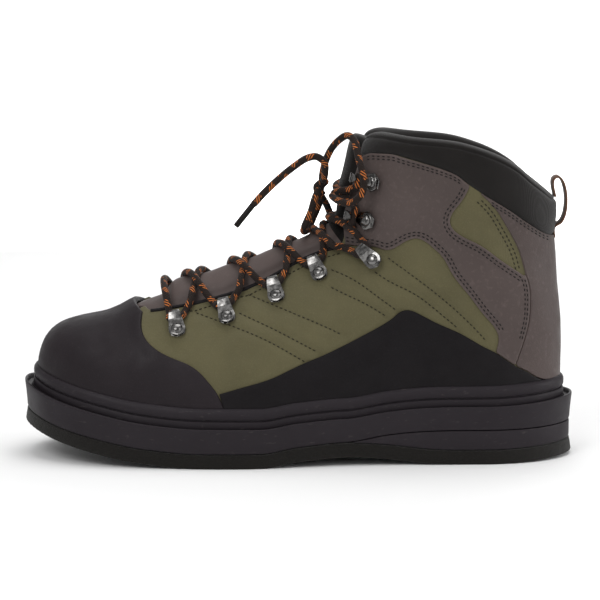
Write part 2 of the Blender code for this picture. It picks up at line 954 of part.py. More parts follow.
def make_upper(throat, slot, top):
    upper = shell("upper", -WALL, 0.0, OLIVE)
    for cutter in (throat, slot, top):
        apply_boolean(upper, cutter, "DIFFERENCE")


def make_overlay(name, source, outline, sides, finish, cuts):
    """A panel sewn onto the upper: the overlay wall inside an outline of the side view."""
    low = -BALL_WIDTH if OUTER in sides else SIDE_SPLIT
    high = BALL_WIDTH if INNER in sides else -SIDE_SPLIT
    cutter = prism(name + "_outline", outline, low, high)
    panel = bpy.data.objects.new(name, source.data.copy())
    bpy.context.scene.collection.objects.link(panel)
    panel.data.materials.clear()
    panel.data.materials.append(material(*finish))
    apply_boolean(panel, cutter, "INTERSECT")
    for cut in cuts:
        apply_boolean(panel, cut, "DIFFERENCE")


def shifted(points, dx=0.0, dz=0.0):
    return [(x + dx, z + dz) for x, z in points]


def make_overlays(throat, slot, top):
    source = shell("overlay_wall", OVERLAY_GAP, OVERLAY_GAP + OVERLAY_THICKNESS, BLACK_RAND)
    source.hide_render = True
    source.display_type = "WIRE"
    seam = SEAM_GAP
    toe = side_points(TOE_BORDER)
    toe_start = at_x(-0.05)
    toe_cap = [(toe_start, ABOVE)] + toe[:-1] + floor_line(toe[-2][0], toe_start)
    make_overlay("toe_cap", source, toe_cap, (OUTER, INNER), BLACK_RAND, [throat])

    rand = side_points(RAND_TOP)
    rand_outline = shifted(rand, dx=seam / 2, dz=-seam) + floor_line(rand[-1][0], rand[0][0] + seam)
    seat = [p for p in rand if p[0] > at_x(0.852)]
    ankle_front = side_points(ANKLE_FRONT)
    ankle_front[-1] = (ankle_front[-1][0], rand[13][1] + seam)
    counter_front = side_points(COUNTER_FRONT)
    window_front = side_points(WINDOW_FRONT)
    window_back = side_points(WINDOW_BACK)
    low_edge = shifted([p for p in seat if p[0] < counter_front[0][0]], dz=seam)
    throat_edge = side_points(THROAT)[:8:-1]
    ankle = (
        ankle_front
        + low_edge
        + shifted(counter_front, dx=-seam / 2)[:-1]
        + window_front
        + [(window_front[-1][0], ABOVE), (throat_edge[0][0], ABOVE)]
        + throat_edge
    )
    counter_low = [p for p in rand if p[0] > counter_front[0][0]]
    counter = (
        shifted(counter_front, dx=seam / 2)
        + shifted(window_back[1:], dx=seam)
        + [(window_back[-1][0] + seam, ABOVE), (BEHIND, ABOVE)]
        + floor_line(BEHIND, counter_low[-1][0] + 2 * seam)
        + shifted(counter_low[::-1], dz=seam)
    )
    for side, label in ((OUTER, "outer"), (INNER, "inner")):
        make_overlay(f"side_rand_{label}", source, rand_outline, (side,), BLACK_RAND, [])
        make_overlay(f"ankle_overlay_{label}", source, ankle, (side,), GREY, [top, slot])
    make_overlay("heel_counter", source, counter, (OUTER, INNER), GREY, [top])


def collar_point(side, share, height_of, lower, out):
    """Point of the collar: share from its front end to the heel, lower below the line height_of."""
    x = at_x(0.7)
    for _ in range(12):
        z = height_of(x) - lower
        reach = front.x_at(z)
        while half_width(side, reach, z) < COLLAR_FRONT_WIDTH / 2:
            reach += 0.0005
        x = reach + (back.x_at(z) - reach) * share
    point = on_body(side, x, z)
    outward = facing(side, x, z) if share < 0.999 else Vector((1, 0, 0))
    outward.z = 0
    point += outward.normalized() * out
    return Vector((point.x, point.y, height_of(point.x) - lower))


def make_collar():
    """The padded collar: it stands above the upper's edge and is tucked in behind it."""
    behind_wall = -WALL - CURVED_GAP
    on_edge = OVERLAY_THICKNESS
    section = [
        (edge_height, COLLAR_TUCK, behind_wall - 0.0005),
        (edge_height, -CURVED_GAP, behind_wall),
        (edge_height, -2 * CURVED_GAP, on_edge),
        (rim_height, 0.45 * COLLAR_RISE, on_edge + COLLAR_BULGE),
        (rim_height, 0.12 * COLLAR_RISE, on_edge),
        (rim_height, 0.0, -0.25 * COLLAR_PAD),
        (rim_height, 0.0, -0.65 * COLLAR_PAD),
        (rim_height, 0.16 * COLLAR_RISE, -COLLAR_PAD),
        (edge_height, 0.0, -1.15 * COLLAR_PAD),
        (edge_height, COLLAR_TUCK, -0.75 * COLLAR_PAD),
    ]
    shares = [math.sin(math.pi / 2 * j / COLLAR_COLUMNS) for j in range(COLLAR_COLUMNS + 1)]
    rings = []
    for share in shares:
        rings.append([collar_point(OUTER, share, *corner) for corner in section])
    for share in shares[-2::-1]:
        rings.append([collar_point(INNER, share, *corner) for corner in section])
    bm = bmesh.new()
    rows = loft(bm, rings)
    bm.faces.new(rows[0])
    bm.faces.new(rows[-1])
    mesh_object("collar", bm, NEOPRENE)


def make_tongue():
    """A padded tongue whose sides are tucked under the throat's edges."""
    drop = -WALL - 3 * CURVED_GAP
    tops, bottoms = [], []
    for height in TONGUE_ROWS:
        v = front.share_at(at_z(height))
        half = max(throat_half(v) - THROAT_CLEARANCE, 0.0)
        total = min(half + THROAT_CLEARANCE + TONGUE_TUCK, TONGUE_WIDTH / 2)
        if height > EDGE["height"][1] - COLLAR_TUCK / UPPER_HEIGHT:
            total = COLLAR_FRONT_WIDTH / 2 - 2 * CURVED_GAP
        half = min(half, total - 0.0012) if half else 0.0
        if height < TONGUE_START:
            ys = [total * t for t in (0, 0.4, 0.7, 0.9, 1.0)]
            outs = [drop] * 5
        else:
            ys = [0, 0.46 * half, 0.78 * half, 0.96 * half, total]
            outs = [TONGUE_RISE, 0.7 * TONGUE_RISE, -0.2 * TONGUE_RISE, drop, drop]
        pairs = list(zip(ys, outs))
        row = [(-y, o) for y, o in pairs[:0:-1]] + pairs
        tops.append([over_instep(v, y, o) for y, o in row])
        bottoms.append([over_instep(v, 0.97 * y, o - TONGUE_THICKNESS) for y, o in row])
    bm = bmesh.new()
    rings = [top + bottom[::-1] for top, bottom in zip(tops, bottoms)]
    rows = loft(bm, rings)
    n = len(tops[0])
    for row in (rows[0], rows[-1]):
        for i in range(n - 1):
            bm.faces.new((row[i], row[i + 1], row[2 * n - 2 - i], row[2 * n - 1 - i]))
    mesh_object("tongue", bm, NEOPRENE)


# Straps: a flat section carried along a path in the side view.


def strap(name, path, width_of, gauge, finish):
    """A flat band along (x, z) points, whose width across Y follows width_of(share)."""
    bm = bmesh.new()
    rings = []
    for i, (x, z) in enumerate(path):
        xa, za = path[max(i - 1, 0)]
        xb, zb = path[min(i + 1, len(path) - 1)]
        run = math.hypot(xb - xa, zb - za)
        nx, nz = (zb - za) / run * gauge / 2, (xa - xb) / run * gauge / 2
        w = width_of(i / (len(path) - 1)) / 2
        rings.append(
            [
                Vector((x - nx, -w, z - nz)),
                Vector((x + nx, -w, z + nz)),
                Vector((x + nx, w, z + nz)),
                Vector((x - nx, w, z - nz)),
            ]
        )
    rows = loft(bm, rings)
    bm.faces.new(rows[0])
    bm.faces.new(rows[-1])
    return mesh_object(name, bm, finish, 50)


def smooth_path(points, samples):
    """Points of a smooth curve through chosen points, evenly spaced by share."""
    run = [0.0]
    for a, b in zip(points, points[1:]):
        run.append(run[-1] + (Vector(b) - Vector(a)).length)
    slopes = []
    for i in range(len(points)):
        a, b = max(i - 1, 0), min(i + 1, len(points) - 1)
        slopes.append((Vector(points[b]) - Vector(points[a])) / (run[b] - run[a]))
    path = []
    for k in range(samples + 1):
        s = run[-1] * k / samples
        i = min(max(j for j in range(len(run)) if run[j] <= s + 1e-12), len(run) - 2)
        h = run[i + 1] - run[i]
        t = (s - run[i]) / h
        path.append(
            Vector(points[i]) * ((1 + 2 * t) * (1 - t) ** 2)
            + slopes[i] * (h * t * (1 - t) ** 2)
            + Vector(points[i + 1]) * (t * t * (3 - 2 * t))
            + slopes[i + 1] * (h * t * t * (t - 1))
        )
    return path


def make_pull_loop():
    """Webbing loop at the heel, from over the collar's rim down to the upper's edge."""
    top = rim_height(at_x(RIM["x"][-1]))
    rear = back.x_at(top)
    foot = edge_height(at_x(EDGE["x"][-1]))
    rise, reach = PULL_RISE, PULL_REACH
    points = [
        (rear + OVERLAY_THICKNESS + PULL_GAUGE + GAP, 0, top - 0.2 * rise),
        (rear + 0.14 * reach, 0, top + 0.5 * rise),
        (rear + 0.20 * reach, 0, top + 0.88 * rise),
        (rear + 0.50 * reach, 0, top + rise),
        (rear + 0.82 * reach, 0, top + 0.62 * rise),
        (rear + reach, 0, top - 0.15 * rise),
        (rear + 0.97 * reach, 0, top - 0.42 * (top - foot)),
        (rear + 0.72 * reach, 0, top - 0.68 * (top - foot)),
        (back.x_at(foot) + OVERLAY_THICKNESS + PULL_GAUGE + GAP, 0, foot + 0.0045),
        (back.x_at(foot) + OVERLAY_THICKNESS + PULL_GAUGE + GAP, 0, foot - 0.0015),
    ]
    path = [(p.x, p.z) for p in smooth_path(points, 12)]
    strap("pull_loop", path, lambda share: PULL_WIDTH, PULL_GAUGE, WEBBING)


# Hardware. Each piece is made at the origin, tip towards +X and the upper below it, then placed.


def dome(bm, x, base, radius, rise):
    """A rivet's head as a closed solid."""
    rings = []
    for share, height in ((1.0, 0.0), (1.0, 0.35), (0.74, 0.8), (0.34, 1.0)):
        ring_points = []
        for i in range(RIVET_SIDES):
            a = 2 * math.pi * i / RIVET_SIDES
            ring_points.append(Vector((x + radius * share * math.cos(a), radius * share * math.sin(a), base + rise * height)))
        rings.append(ring_points)
    rows = loft(bm, rings)
    bm.faces.new(rows[0])
    bm.faces.new(rows[-1])


def union_parts(name, parts, finish):
    """One solid from overlapping closed parts."""
    whole = mesh_object(name, parts[0], finish)
    for i, part in enumerate(parts[1:]):
        tool = mesh_object(f"{name}_tool_{i}", part, finish)
        apply_boolean(whole, tool, "UNION")
        bpy.data.objects.remove(tool)
    return whole


def loop_solid():
    """A lace loop: a metal strap folded into a tunnel for the lace, with a domed rivet."""
    gauge = STRAP_GAUGE
    tip = LOOP_LENGTH - LOOP_WIDTH / 2
    top = LOOP_HEIGHT
    outer = [
        (-LOOP_WIDTH / 2, 0.0),
        (tip - 0.25 * top, 0.0),
        (tip - 0.02 * top, 0.25 * top),
        (tip - 0.04 * top, 0.80 * top),
        (tip - 0.42 * top, top),
        (0.42 * tip, 0.80 * top),
        (0.22 * tip, 2.3 * gauge),
        (-LOOP_WIDTH / 2, 2.0 * gauge),
    ]
    hole_back = 0.30 * tip
    hole = [
        (hole_back, gauge),
        (tip - 0.30 * top, gauge),
        (tip - 0.20 * top, 0.30 * top),
        (tip - 0.22 * top, 0.74 * top),
        (tip - 0.46 * top, top - gauge),
        (0.50 * tip, 0.80 * top - gauge),
        (hole_back + 0.0004, 1.9 * gauge),
        (hole_back, 1.4 * gauge),
    ]
    bm = bmesh.new()

    def half_at(a):
        share = min(max((a + LOOP_WIDTH / 2) / LOOP_LENGTH, 0.0), 1.0)
        rounded = 0.62 if a < -0.4 * LOOP_WIDTH else 1.0
        return rounded * (LOOP_WIDTH + (LOOP_TIP_WIDTH - LOOP_WIDTH) * share) / 2

    walls = []
    for side in (-1, 1):
        for line in (outer, hole):
            walls.append([bm.verts.new((a, side * half_at(a), h)) for a, h in line])
    near_out, near_in, far_out, far_in = walls
    n = len(outer)
    for i in range(n):
        j = (i + 1) % n
        bm.faces.new((near_out[i], near_out[j], near_in[j], near_in[i]))
        bm.faces.new((far_out[j], far_out[i], far_in[i], far_in[j]))
        bm.faces.new((near_out[j], near_out[i], far_out[i], far_out[j]))
        bm.faces.new((near_in[i], near_in[j], far_in[j], far_in[i]))
    rivet = bmesh.new()
    dome(rivet, 0.0, 1.0 * gauge, RIVET_RADIUS, 2.4 * gauge)
    return union_parts("lace_loop", [bm, rivet], STEEL)


def hook_solid():
    """An open lace hook: six-sided plate, domed rivet and a strap that curls back over itself."""
    gauge = STRAP_GAUGE
    half = HOOK_PLATE / 2
    plate_bm = bmesh.new()
    corners = [(-half, -0.45 * half), (-half, 0.45 * half), (-0.1 * half, 0.95 * half), (half, 0.55 * half)]
    corners += [(half, -0.55 * half), (-0.1 * half, -0.95 * half)]
    rings = [[Vector((x, y, z)) for x, y in corners] for z in (0.0, gauge)]
    rows = loft(plate_bm, rings)
    plate_bm.faces.new(rows[0])
    plate_bm.faces.new(rows[-1])
    rivet = bmesh.new()
    dome(rivet, 0.0, 0.5 * gauge, RIVET_RADIUS, 2.2 * gauge)
    reach, top = HOOK_REACH, HOOK_HEIGHT
    points = [
        (0.75 * half, 0, 0.5 * gauge),
        (0.70 * reach, 0, 0.5 * gauge),
        (0.93 * reach, 0, 0.22 * top),
        (reach, 0, 0.52 * top),
        (0.92 * reach, 0, 0.84 * top),
        (0.72 * reach, 0, 0.97 * top),
        (0.50 * reach, 0, 0.92 * top),
    ]
    path = [(p.x, p.z) for p in smooth_path(points, 9)]
    curl = bmesh.new()
    widths = (1.0, 0.8, 0.66, 0.60, 0.60, 0.66, 0.76, 0.86, 0.72, 0.30)
    strap_rings = []
    for i, (x, z) in enumerate(path):
        xa, za = path[max(i - 1, 0)]
        xb, zb = path[min(i + 1, len(path) - 1)]
        run = math.hypot(xb - xa, zb - za)
        nx, nz = (zb - za) / run * gauge / 2, (xa - xb) / run * gauge / 2
        w = widths[i] * HOOK_NECK / 2
        strap_rings.append(
            [Vector((x - nx, -w, z - nz)), Vector((x + nx, -w, z + nz)), Vector((x + nx, w, z + nz)), Vector((x - nx, w, z - nz))]
        )
    rows = loft(curl, strap_rings)
    curl.faces.new(rows[0])
    curl.faces.new(rows[-1])
    return union_parts("lace_hook", [plate_bm, curl, rivet], STEEL)


def seat_frame(side, source, i):
    """Where a loop or hook sits: a matrix with X towards its tip and Z away from the upper."""
    x, z = at_x(source["x"][i]), at_z(source["height"][i])
    tip_x, tip_z = at_x(source["tip_x"][i]), at_z(source["tip_height"][i])
    rivet, tip = on_body(side, x, z), on_body(side, tip_x, tip_z)
    along = (tip - rivet).normalized()
    out = facing(side, x, z)
    out = (out - along * out.dot(along)).normalized()
    across = out.cross(along)
    lift = HARDWARE_LIFT + source["seat"][i] * (OVERLAY_THICKNESS + GAP)
    frame = Matrix((along, across, out)).transposed().to_4x4()
    frame.translation = rivet + out * lift
    return frame


def make_hardware():
    for label, source, solid in (("lace_loop", LOOPS, loop_solid()), ("lace_hook", HOOKS, hook_solid())):
        mesh = solid.data
        bpy.data.objects.remove(solid)
        for side, name in ((OUTER, "outer"), (INNER, "inner")):
            for i in range(len(source["x"])):
                piece = bpy.data.objects.new(f"{label}_{name}_{i + 1}", mesh)
                bpy.context.scene.collection.objects.link(piece)
                piece.matrix_world = seat_frame(side, source, i)


# The lace.


def tube(points, radius, sides=LACE_SIDES):
    """A closed round tube along points, as a bmesh."""
    bm = bmesh.new()
    rings = []
    reference = Vector((0, 0, 1))
    for i, p in enumerate(points):
        along = (points[min(i + 1, len(points) - 1)] - points[max(i - 1, 0)]).normalized()
        across = reference.cross(along)
        if across.length < 0.05:
            across = Vector((0, 1, 0)).cross(along)
        across.normalize()
        up = along.cross(across)
        turn = [2 * math.pi * k / sides for k in range(sides)]
        rings.append([p + across * radius * math.cos(a) + up * radius * math.sin(a) for a in turn])
    rows = loft(bm, rings)
    bm.faces.new(rows[0])
    bm.faces.new(rows[-1])
    return bm


def anchor(side, row, end, gap=LACE_END_GAP):
    """Where the lace meets a loop or hook: end is -1 on its toe side and +1 on its heel side."""
    source, i = (LOOPS, row) if row < len(LOOPS["x"]) else (HOOKS, row - len(LOOPS["x"]))
    frame = seat_frame(side, source, i)
    tip = LOOP_LENGTH - LOOP_WIDTH / 2
    forward = (0.62 * tip, 0.52 * LOOP_HEIGHT) if source is LOOPS else (0.60 * HOOK_REACH, 0.48 * HOOK_HEIGHT)
    across = side * end * (LOOP_WIDTH / 2 + gap)
    return frame @ Vector((forward[0], across, forward[1]))


def station_of(point):
    """Ridge station nearest to a point."""
    best = min(range(0, 201), key=lambda k: (Vector((front.at(k / 200)[0], 0, front.at(k / 200)[1])) - Vector((point.x, 0, point.z))).length)
    return best / 200


def crossing(start, end, lift=0.0, steps=5):
    """Route of one strand over the tongue, from one side's hardware to the other's."""
    va, vb = station_of(start), station_of(end)
    ya, yb = start.y - centre_y(start.x), end.y - centre_y(end.x)
    points = []
    for k in range(steps + 1):
        t = k / steps
        straight = start.lerp(end, t)
        v, y = va + (vb - va) * t, ya + (yb - ya) * t
        inner_reach = min(abs(ya), abs(yb)) * 0.92
        over = over_instep(v, max(min(y, inner_reach), -inner_reach), LACE_CLEARANCE + lift)
        near = blend(min(t, 1 - t), 0.0, 0.24)
        points.append(straight.lerp(over, near))
    return points


def make_lacing():
    radius = LACE_DIAMETER / 2
    ends = [anchor(side, 0, -1, BAR_END_GAP) for side in (OUTER, INNER)]
    first = tube(crossing(*ends), radius)
    mesh_object("lace_bar", first, CORD)
    for row in range(len(LOOPS["x"]) + len(HOOKS["x"]) - 1):
        one = tube(crossing(anchor(OUTER, row, 1), anchor(INNER, row + 1, -1)), radius)
        two = tube(crossing(anchor(INNER, row, 1), anchor(OUTER, row + 1, -1)), radius)
        union_parts(f"lace_cross_{row + 1}", [one, two], CORD)


def cord(name, route, samples):
    """A cord node: a round curve through its own points, in millimetres."""
    points = smooth_path([Vector(p) / 1000 for p in route], samples)
    data = bpy.data.curves.new(name, "CURVE")
    data.dimensions = "3D"
    data.bevel_depth = LACE_DIAMETER / 2
    data.bevel_resolution = 2
    data.use_fill_caps = True
    line = data.splines.new("POLY")
    line.points.add(len(points) - 1)
    for spot, p in zip(line.points, points):
        spot.co = (*p, 1)
    data.materials.append(material(*CORD))
    made = bpy.data.objects.new(name, data)
    bpy.context.scene.collection.objects.link(made)


# Free parts of the lace, chosen by hand in millimetres.
STANDING_LOOP = (
    (15.1, -5.8, 162.5),
    (13.2, -9.3, 171.0),
    (17.0, -12.3, 178.0),
    (21.5, -15.3, 184.5),
    (27.5, -18.3, 188.3),
    (32.0, -22.3, 185.5),
    (33.8, -26.3, 178.5),
)
FALLING_LOOP = (
    (11.4, -8.9, 154.6),
    (5.0, -15.3, 149.0),
    (2.0, -16.3, 142.5),
    (-2.0, -15.3, 138.0),
    (-6.0, -10.3, 135.5),
    (-8.0, -3.3, 134.8),
    (-5.0, 3.7, 136.5),
    (2.0, 5.2, 142.5),
    (9.1, -2.8, 153.3),
)
LONG_END = (
    (12.4, -8.4, 160.0),
    (7.0, -18.3, 168.0),
    (1.5, -23.3, 168.2),
    (-8.0, -27.3, 161.0),
    (-17.5, -30.3, 152.5),
    (-27.0, -33.3, 143.0),
)
SHORT_END = (
    (14.9, 0.9, 152.2),
    (12.0, 7.7, 144.5),
    (6.5, 13.2, 136.0),
    (-2.0, 16.7, 131.0),
    (-12.0, 18.7, 127.0),
)
LONG_TIP = ((-27.3, -33.4, 142.7), (-36.5, -35.8, 132.5))
SHORT_TIP = ((-12.5, 18.8, 126.8), (-25.5, 20.7, 122.5))
KNOT = (14.6, -3.8, 156.5)


def make_knot():
    """The bow's knot: the wraps of the lace as one rounded lump on the tongue."""
    bm = bmesh.new()
    bmesh.ops.create_uvsphere(bm, u_segments=10, v_segments=6, radius=1.0)
    size = Vector((KNOT_SIZE * 0.72, KNOT_SIZE, KNOT_SIZE * 0.86)) / 2
    bmesh.ops.scale(bm, vec=size, verts=bm.verts)
    bmesh.ops.translate(bm, vec=Vector(KNOT) / 1000, verts=bm.verts)
    mesh_object("lace_knot", bm, CORD)


def make_free_lace():
    make_knot()
    cord("lace_standing_loop", STANDING_LOOP, 9)
    cord("lace_falling_loop", FALLING_LOOP, 12)
    cord("lace_end_long", LONG_END, 9)
    cord("lace_end_short", SHORT_END, 7)
    for name, ends in (("lace_tip_long", LONG_TIP), ("lace_tip_short", SHORT_TIP)):
        points = [Vector(p) / 1000 for p in ends]
        mesh_object(name, tube(points, TIP_RADIUS), CORD)


def main():
    for old in list(bpy.data.objects):
        bpy.data.objects.remove(old)
    make_felt()
    make_heel_lift()
    make_midsole()
    make_welt()
    make_insole()
    throat = prism("throat_cutter", THROAT_OUTLINE, -BALL_WIDTH, BALL_WIDTH)
    top = make_top_cutter()
    slot = make_slot_cutter()
    make_upper(throat, slot, top)
    make_overlays(throat, slot, top)
    make_collar()
    make_tongue()
    make_pull_loop()
    make_hardware()
    make_lacing()
    make_free_lace()


main()
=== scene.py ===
"""Finished surfaces, seams, lacing and trims of a wading boot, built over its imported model.

Frame: metres, +Z up, the toe points to -X, the outer side faces -Y and the inner side +Y.
"""

import math

import bmesh
import bpy
import numpy as np
from bpy.props import FloatProperty, FloatVectorProperty, PointerProperty
from mathutils import Matrix, Vector


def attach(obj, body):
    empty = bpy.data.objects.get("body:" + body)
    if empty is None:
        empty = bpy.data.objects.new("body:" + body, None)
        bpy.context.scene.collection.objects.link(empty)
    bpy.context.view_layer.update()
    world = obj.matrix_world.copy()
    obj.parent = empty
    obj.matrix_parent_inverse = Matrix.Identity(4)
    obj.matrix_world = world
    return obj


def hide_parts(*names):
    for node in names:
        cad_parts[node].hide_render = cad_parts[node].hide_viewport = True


bl_info = {
    "name": "Wading boot",
    "version": (1, 0, 0),
    "blender": (4, 5, 0),
    "location": "3D View > Sidebar > Boot",
    "description": "Builds the finished surfaces, seams and lacing of a wading boot",
    "category": "Object",
}

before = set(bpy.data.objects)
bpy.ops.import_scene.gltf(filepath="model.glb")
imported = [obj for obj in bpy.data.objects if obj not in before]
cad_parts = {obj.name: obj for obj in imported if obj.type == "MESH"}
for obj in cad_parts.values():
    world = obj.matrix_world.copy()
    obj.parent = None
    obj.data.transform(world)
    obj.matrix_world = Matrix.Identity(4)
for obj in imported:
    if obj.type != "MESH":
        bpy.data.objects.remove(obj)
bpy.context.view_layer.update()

OUTER, INNER = -1, 1

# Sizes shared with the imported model, in metres.
SOLE_LENGTH = 0.326
FELT_THICKNESS = 0.0082
FELT_FLARE = 0.0012
LIFT_THICKNESS = 0.0116
MIDSOLE_THICKNESS = 0.0148
SIDEWALL_TAPER = 0.0015
RIM_OVERHANG = 0.0088
RIM_WIDTH = 0.0015
GUTTER_WIDTH = 0.0028
GUTTER_DEPTH = 0.0026
WELT_HEIGHT = 0.0122
WELT_BAND_HEIGHT = 0.0046
WELT_PROUD = 0.0034
TOE_SPRING = 0.0204
ARCH_RISE = 0.0053
BALL_WIDTH = 0.1030
SHAFT_WIDTH = 0.0780
UPPER_HEIGHT = 0.1700
CROWN_ROUNDING = 0.0600
HEEL_ROUNDING = 0.0480
WALL = 0.0020
OVERLAY_THICKNESS = 0.0012
COLLAR_PAD = 0.0085
COLLAR_TUCK = 0.0140
COLLAR_RISE = 0.0120
COLLAR_BULGE = 0.0012
COLLAR_FRONT_WIDTH = 0.0250
TONGUE_THICKNESS = 0.0045
TONGUE_WIDTH = 0.0720
TONGUE_TOP_WIDTH = 0.0466
TONGUE_TUCK = 0.0060
TONGUE_RISE = 0.0030
LOOP_LENGTH = 0.0160
LOOP_WIDTH = 0.0095
LOOP_TIP_WIDTH = 0.0050
LOOP_HEIGHT = 0.0064
STRAP_GAUGE = 0.0010
RIVET_RADIUS = 0.0036
HOOK_PLATE = 0.0120
HOOK_REACH = 0.0135
HOOK_NECK = 0.0062
HOOK_HEIGHT = 0.0072
LACE_DIAMETER = 0.0042
TIP_RADIUS = 0.0018
PULL_WIDTH = 0.0140
PULL_GAUGE = 0.0012
PULL_RISE = 0.0098
PULL_REACH = 0.0092
GAP = 0.0003
CURVED_GAP = 0.0006
SEAM_GAP = 0.0004
HARDWARE_LIFT = 0.0013
THROAT_CLEARANCE = 0.0050


def table(columns, *rows):
    """A table with named columns, as a dictionary of arrays."""
    return dict(zip(columns.split(), np.array(rows, float).T))


# The last and the sole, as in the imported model: shares of the named sizes along their length.
PLAN = table(
    "share outer inner swing fullness",
    (0.00, 0.490, 0.500, 0.053, 2.30),
    (0.15, 0.500, 0.500, 0.028, 2.25),
    (0.28, 0.500, 0.490, -0.002, 1.80),
    (0.38, 0.492, 0.455, -0.022, 1.62),
    (0.50, 0.445, 0.385, -0.022, 1.62),
    (0.62, 0.385, 0.330, -0.022, 1.75),
    (0.74, 0.355, 0.335, -0.022, 1.95),
    (0.86, 0.345, 0.345, -0.022, 2.00),
    (1.00, 0.340, 0.340, -0.022, 2.00),
)

STACK = table(
    "share spring arch lift rim",
    (0.000, 1.00, 0.00, 0.00, 1.07),
    (0.067, 0.64, 0.00, 0.00, 1.06),
    (0.140, 0.37, 0.00, 0.00, 1.04),
    (0.230, 0.12, 0.00, 0.00, 1.01),
    (0.330, 0.00, 0.00, 0.00, 1.00),
    (0.436, 0.00, 0.00, 0.00, 0.98),
    (0.500, 0.00, 0.62, 0.00, 0.96),
    (0.585, 0.00, 1.00, 0.02, 0.94),
    (0.660, 0.00, 0.70, 0.48, 0.93),
    (0.740, 0.00, 0.12, 0.92, 0.94),
    (0.780, 0.00, 0.00, 1.00, 0.94),
    (0.860, 0.00, 0.00, 1.00, 0.95),
    (0.920, 0.03, 0.00, 0.96, 1.00),
    (1.000, 0.10, 0.00, 0.90, 1.08),
)

FRONT = table(
    "x height rounding",
    (0.0285, 0.000, 1.25),
    (0.0300, 0.182, 1.20),
    (0.0374, 0.241, 1.05),
    (0.0506, 0.282, 0.85),
    (0.0706, 0.309, 0.72),
    (0.1012, 0.328, 0.68),
    (0.1331, 0.342, 0.70),
    (0.1571, 0.356, 0.75),
    (0.1840, 0.382, 0.82),
    (0.2055, 0.406, 0.88),
    (0.2331, 0.428, 0.93),
    (0.2791, 0.455, 1.00),
    (0.3436, 0.488, 1.05),
    (0.4325, 0.546, 1.05),
    (0.5061, 0.602, 0.95),
    (0.5521, 0.644, 0.80),
    (0.5736, 0.676, 0.70),
    (0.5797, 0.722, 0.62),
    (0.5840, 0.790, 0.58),
    (0.5920, 0.870, 0.58),
    (0.6050, 0.955, 0.58),
    (0.6140, 1.000, 0.58),
    (0.6600, 1.200, 0.58),
    (0.7400, 1.600, 0.58),
)
COLLAR_ROW = 21

BACK = table(
    "x height",
    (0.9755, 0.000),
    (0.9764, 0.170),
    (0.9767, 0.276),
    (0.9724, 0.394),
    (0.9681, 0.482),
    (0.9644, 0.571),
    (0.9620, 0.641),
    (0.9644, 0.706),
    (0.9632, 0.747),
    (0.9586, 0.776),
)

RIM = table(
    "x height",
    (0.6140, 1.000),
    (0.6500, 0.996),
    (0.7000, 0.982),
    (0.7760, 0.968),
    (0.8374, 0.935),
    (0.8712, 0.906),
    (0.8957, 0.876),
    (0.9141, 0.844),
    (0.9436, 0.800),
    (0.9586, 0.776),
)

EDGE = table(
    "x height",
    (0.5600, 0.890),
    (0.6140, 0.908),
    (0.6350, 0.925),
    (0.6650, 0.926),
    (0.6910, 0.914),
    (0.7260, 0.895),
    (0.7600, 0.874),
    (0.7810, 0.857),
    (0.8040, 0.823),
    (0.8380, 0.780),
    (0.8750, 0.736),
    (0.9100, 0.688),
    (0.9480, 0.643),
    (0.9700, 0.632),
)

# Outlines in the side view: x along the sole and height above the midsole, as shares.
THROAT = (
    (0.2330, 0.430),
    (0.2260, 0.395),
    (0.2380, 0.380),
    (0.2710, 0.389),
    (0.3320, 0.412),
    (0.4300, 0.473),
    (0.5050, 0.548),
    (0.5480, 0.582),
    (0.5770, 0.600),
    (0.5850, 0.640),
    (0.5860, 0.706),
    (0.6000, 0.808),
    (0.6140, 0.908),
    (0.6200, 0.960),
)

TOE_BORDER = (
    (0.2240, 0.375),
    (0.2220, 0.331),
    (0.2260, 0.306),
    (0.2390, 0.275),
    (0.2660, 0.243),
    (0.3100, 0.212),
    (0.3280, 0.189),
    (0.3460, 0.152),
    (0.3600, 0.118),
    (0.3700, 0.075),
)

RAND_TOP = (
    (0.3630, 0.116),
    (0.3990, 0.136),
    (0.4520, 0.165),
    (0.5050, 0.211),
    (0.5590, 0.253),
    (0.6250, 0.315),
    (0.6670, 0.361),
    (0.6830, 0.389),
    (0.6940, 0.397),
    (0.7050, 0.392),
    (0.7500, 0.347),
    (0.7910, 0.312),
    (0.8320, 0.266),
    (0.8540, 0.245),
    (0.8890, 0.197),
    (0.9130, 0.172),
    (0.9380, 0.160),
)

ANKLE_FRONT = (
    (0.5880, 0.608),
    (0.6070, 0.606),
    (0.6400, 0.611),
    (0.6590, 0.592),
    (0.6780, 0.611),
    (0.6930, 0.632),
    (0.7130, 0.643),
    (0.7270, 0.632),
    (0.7380, 0.612),
    (0.7610, 0.571),
    (0.7760, 0.513),
    (0.8040, 0.449),
    (0.8310, 0.379),
    (0.8510, 0.336),
    (0.8610, 0.299),
    (0.8570, 0.262),
    (0.8550, 0.250),
)

COUNTER_FRONT = (
    (0.8910, 0.206),
    (0.9050, 0.284),
    (0.9130, 0.348),
    (0.9150, 0.417),
    (0.9120, 0.480),
    (0.9050, 0.514),
)

WINDOW_FRONT = (
    (0.9020, 0.508),
    (0.8560, 0.569),
    (0.8290, 0.611),
    (0.7920, 0.645),
    (0.7760, 0.666),
    (0.7670, 0.697),
    (0.7730, 0.724),
    (0.7940, 0.772),
    (0.8040, 0.813),
)

WINDOW_BACK = (
    (0.9050, 0.514),
    (0.8980, 0.563),
    (0.8940, 0.590),
    (0.8790, 0.647),
    (0.8640, 0.696),
    (0.8510, 0.737),
    (0.8190, 0.799),
)

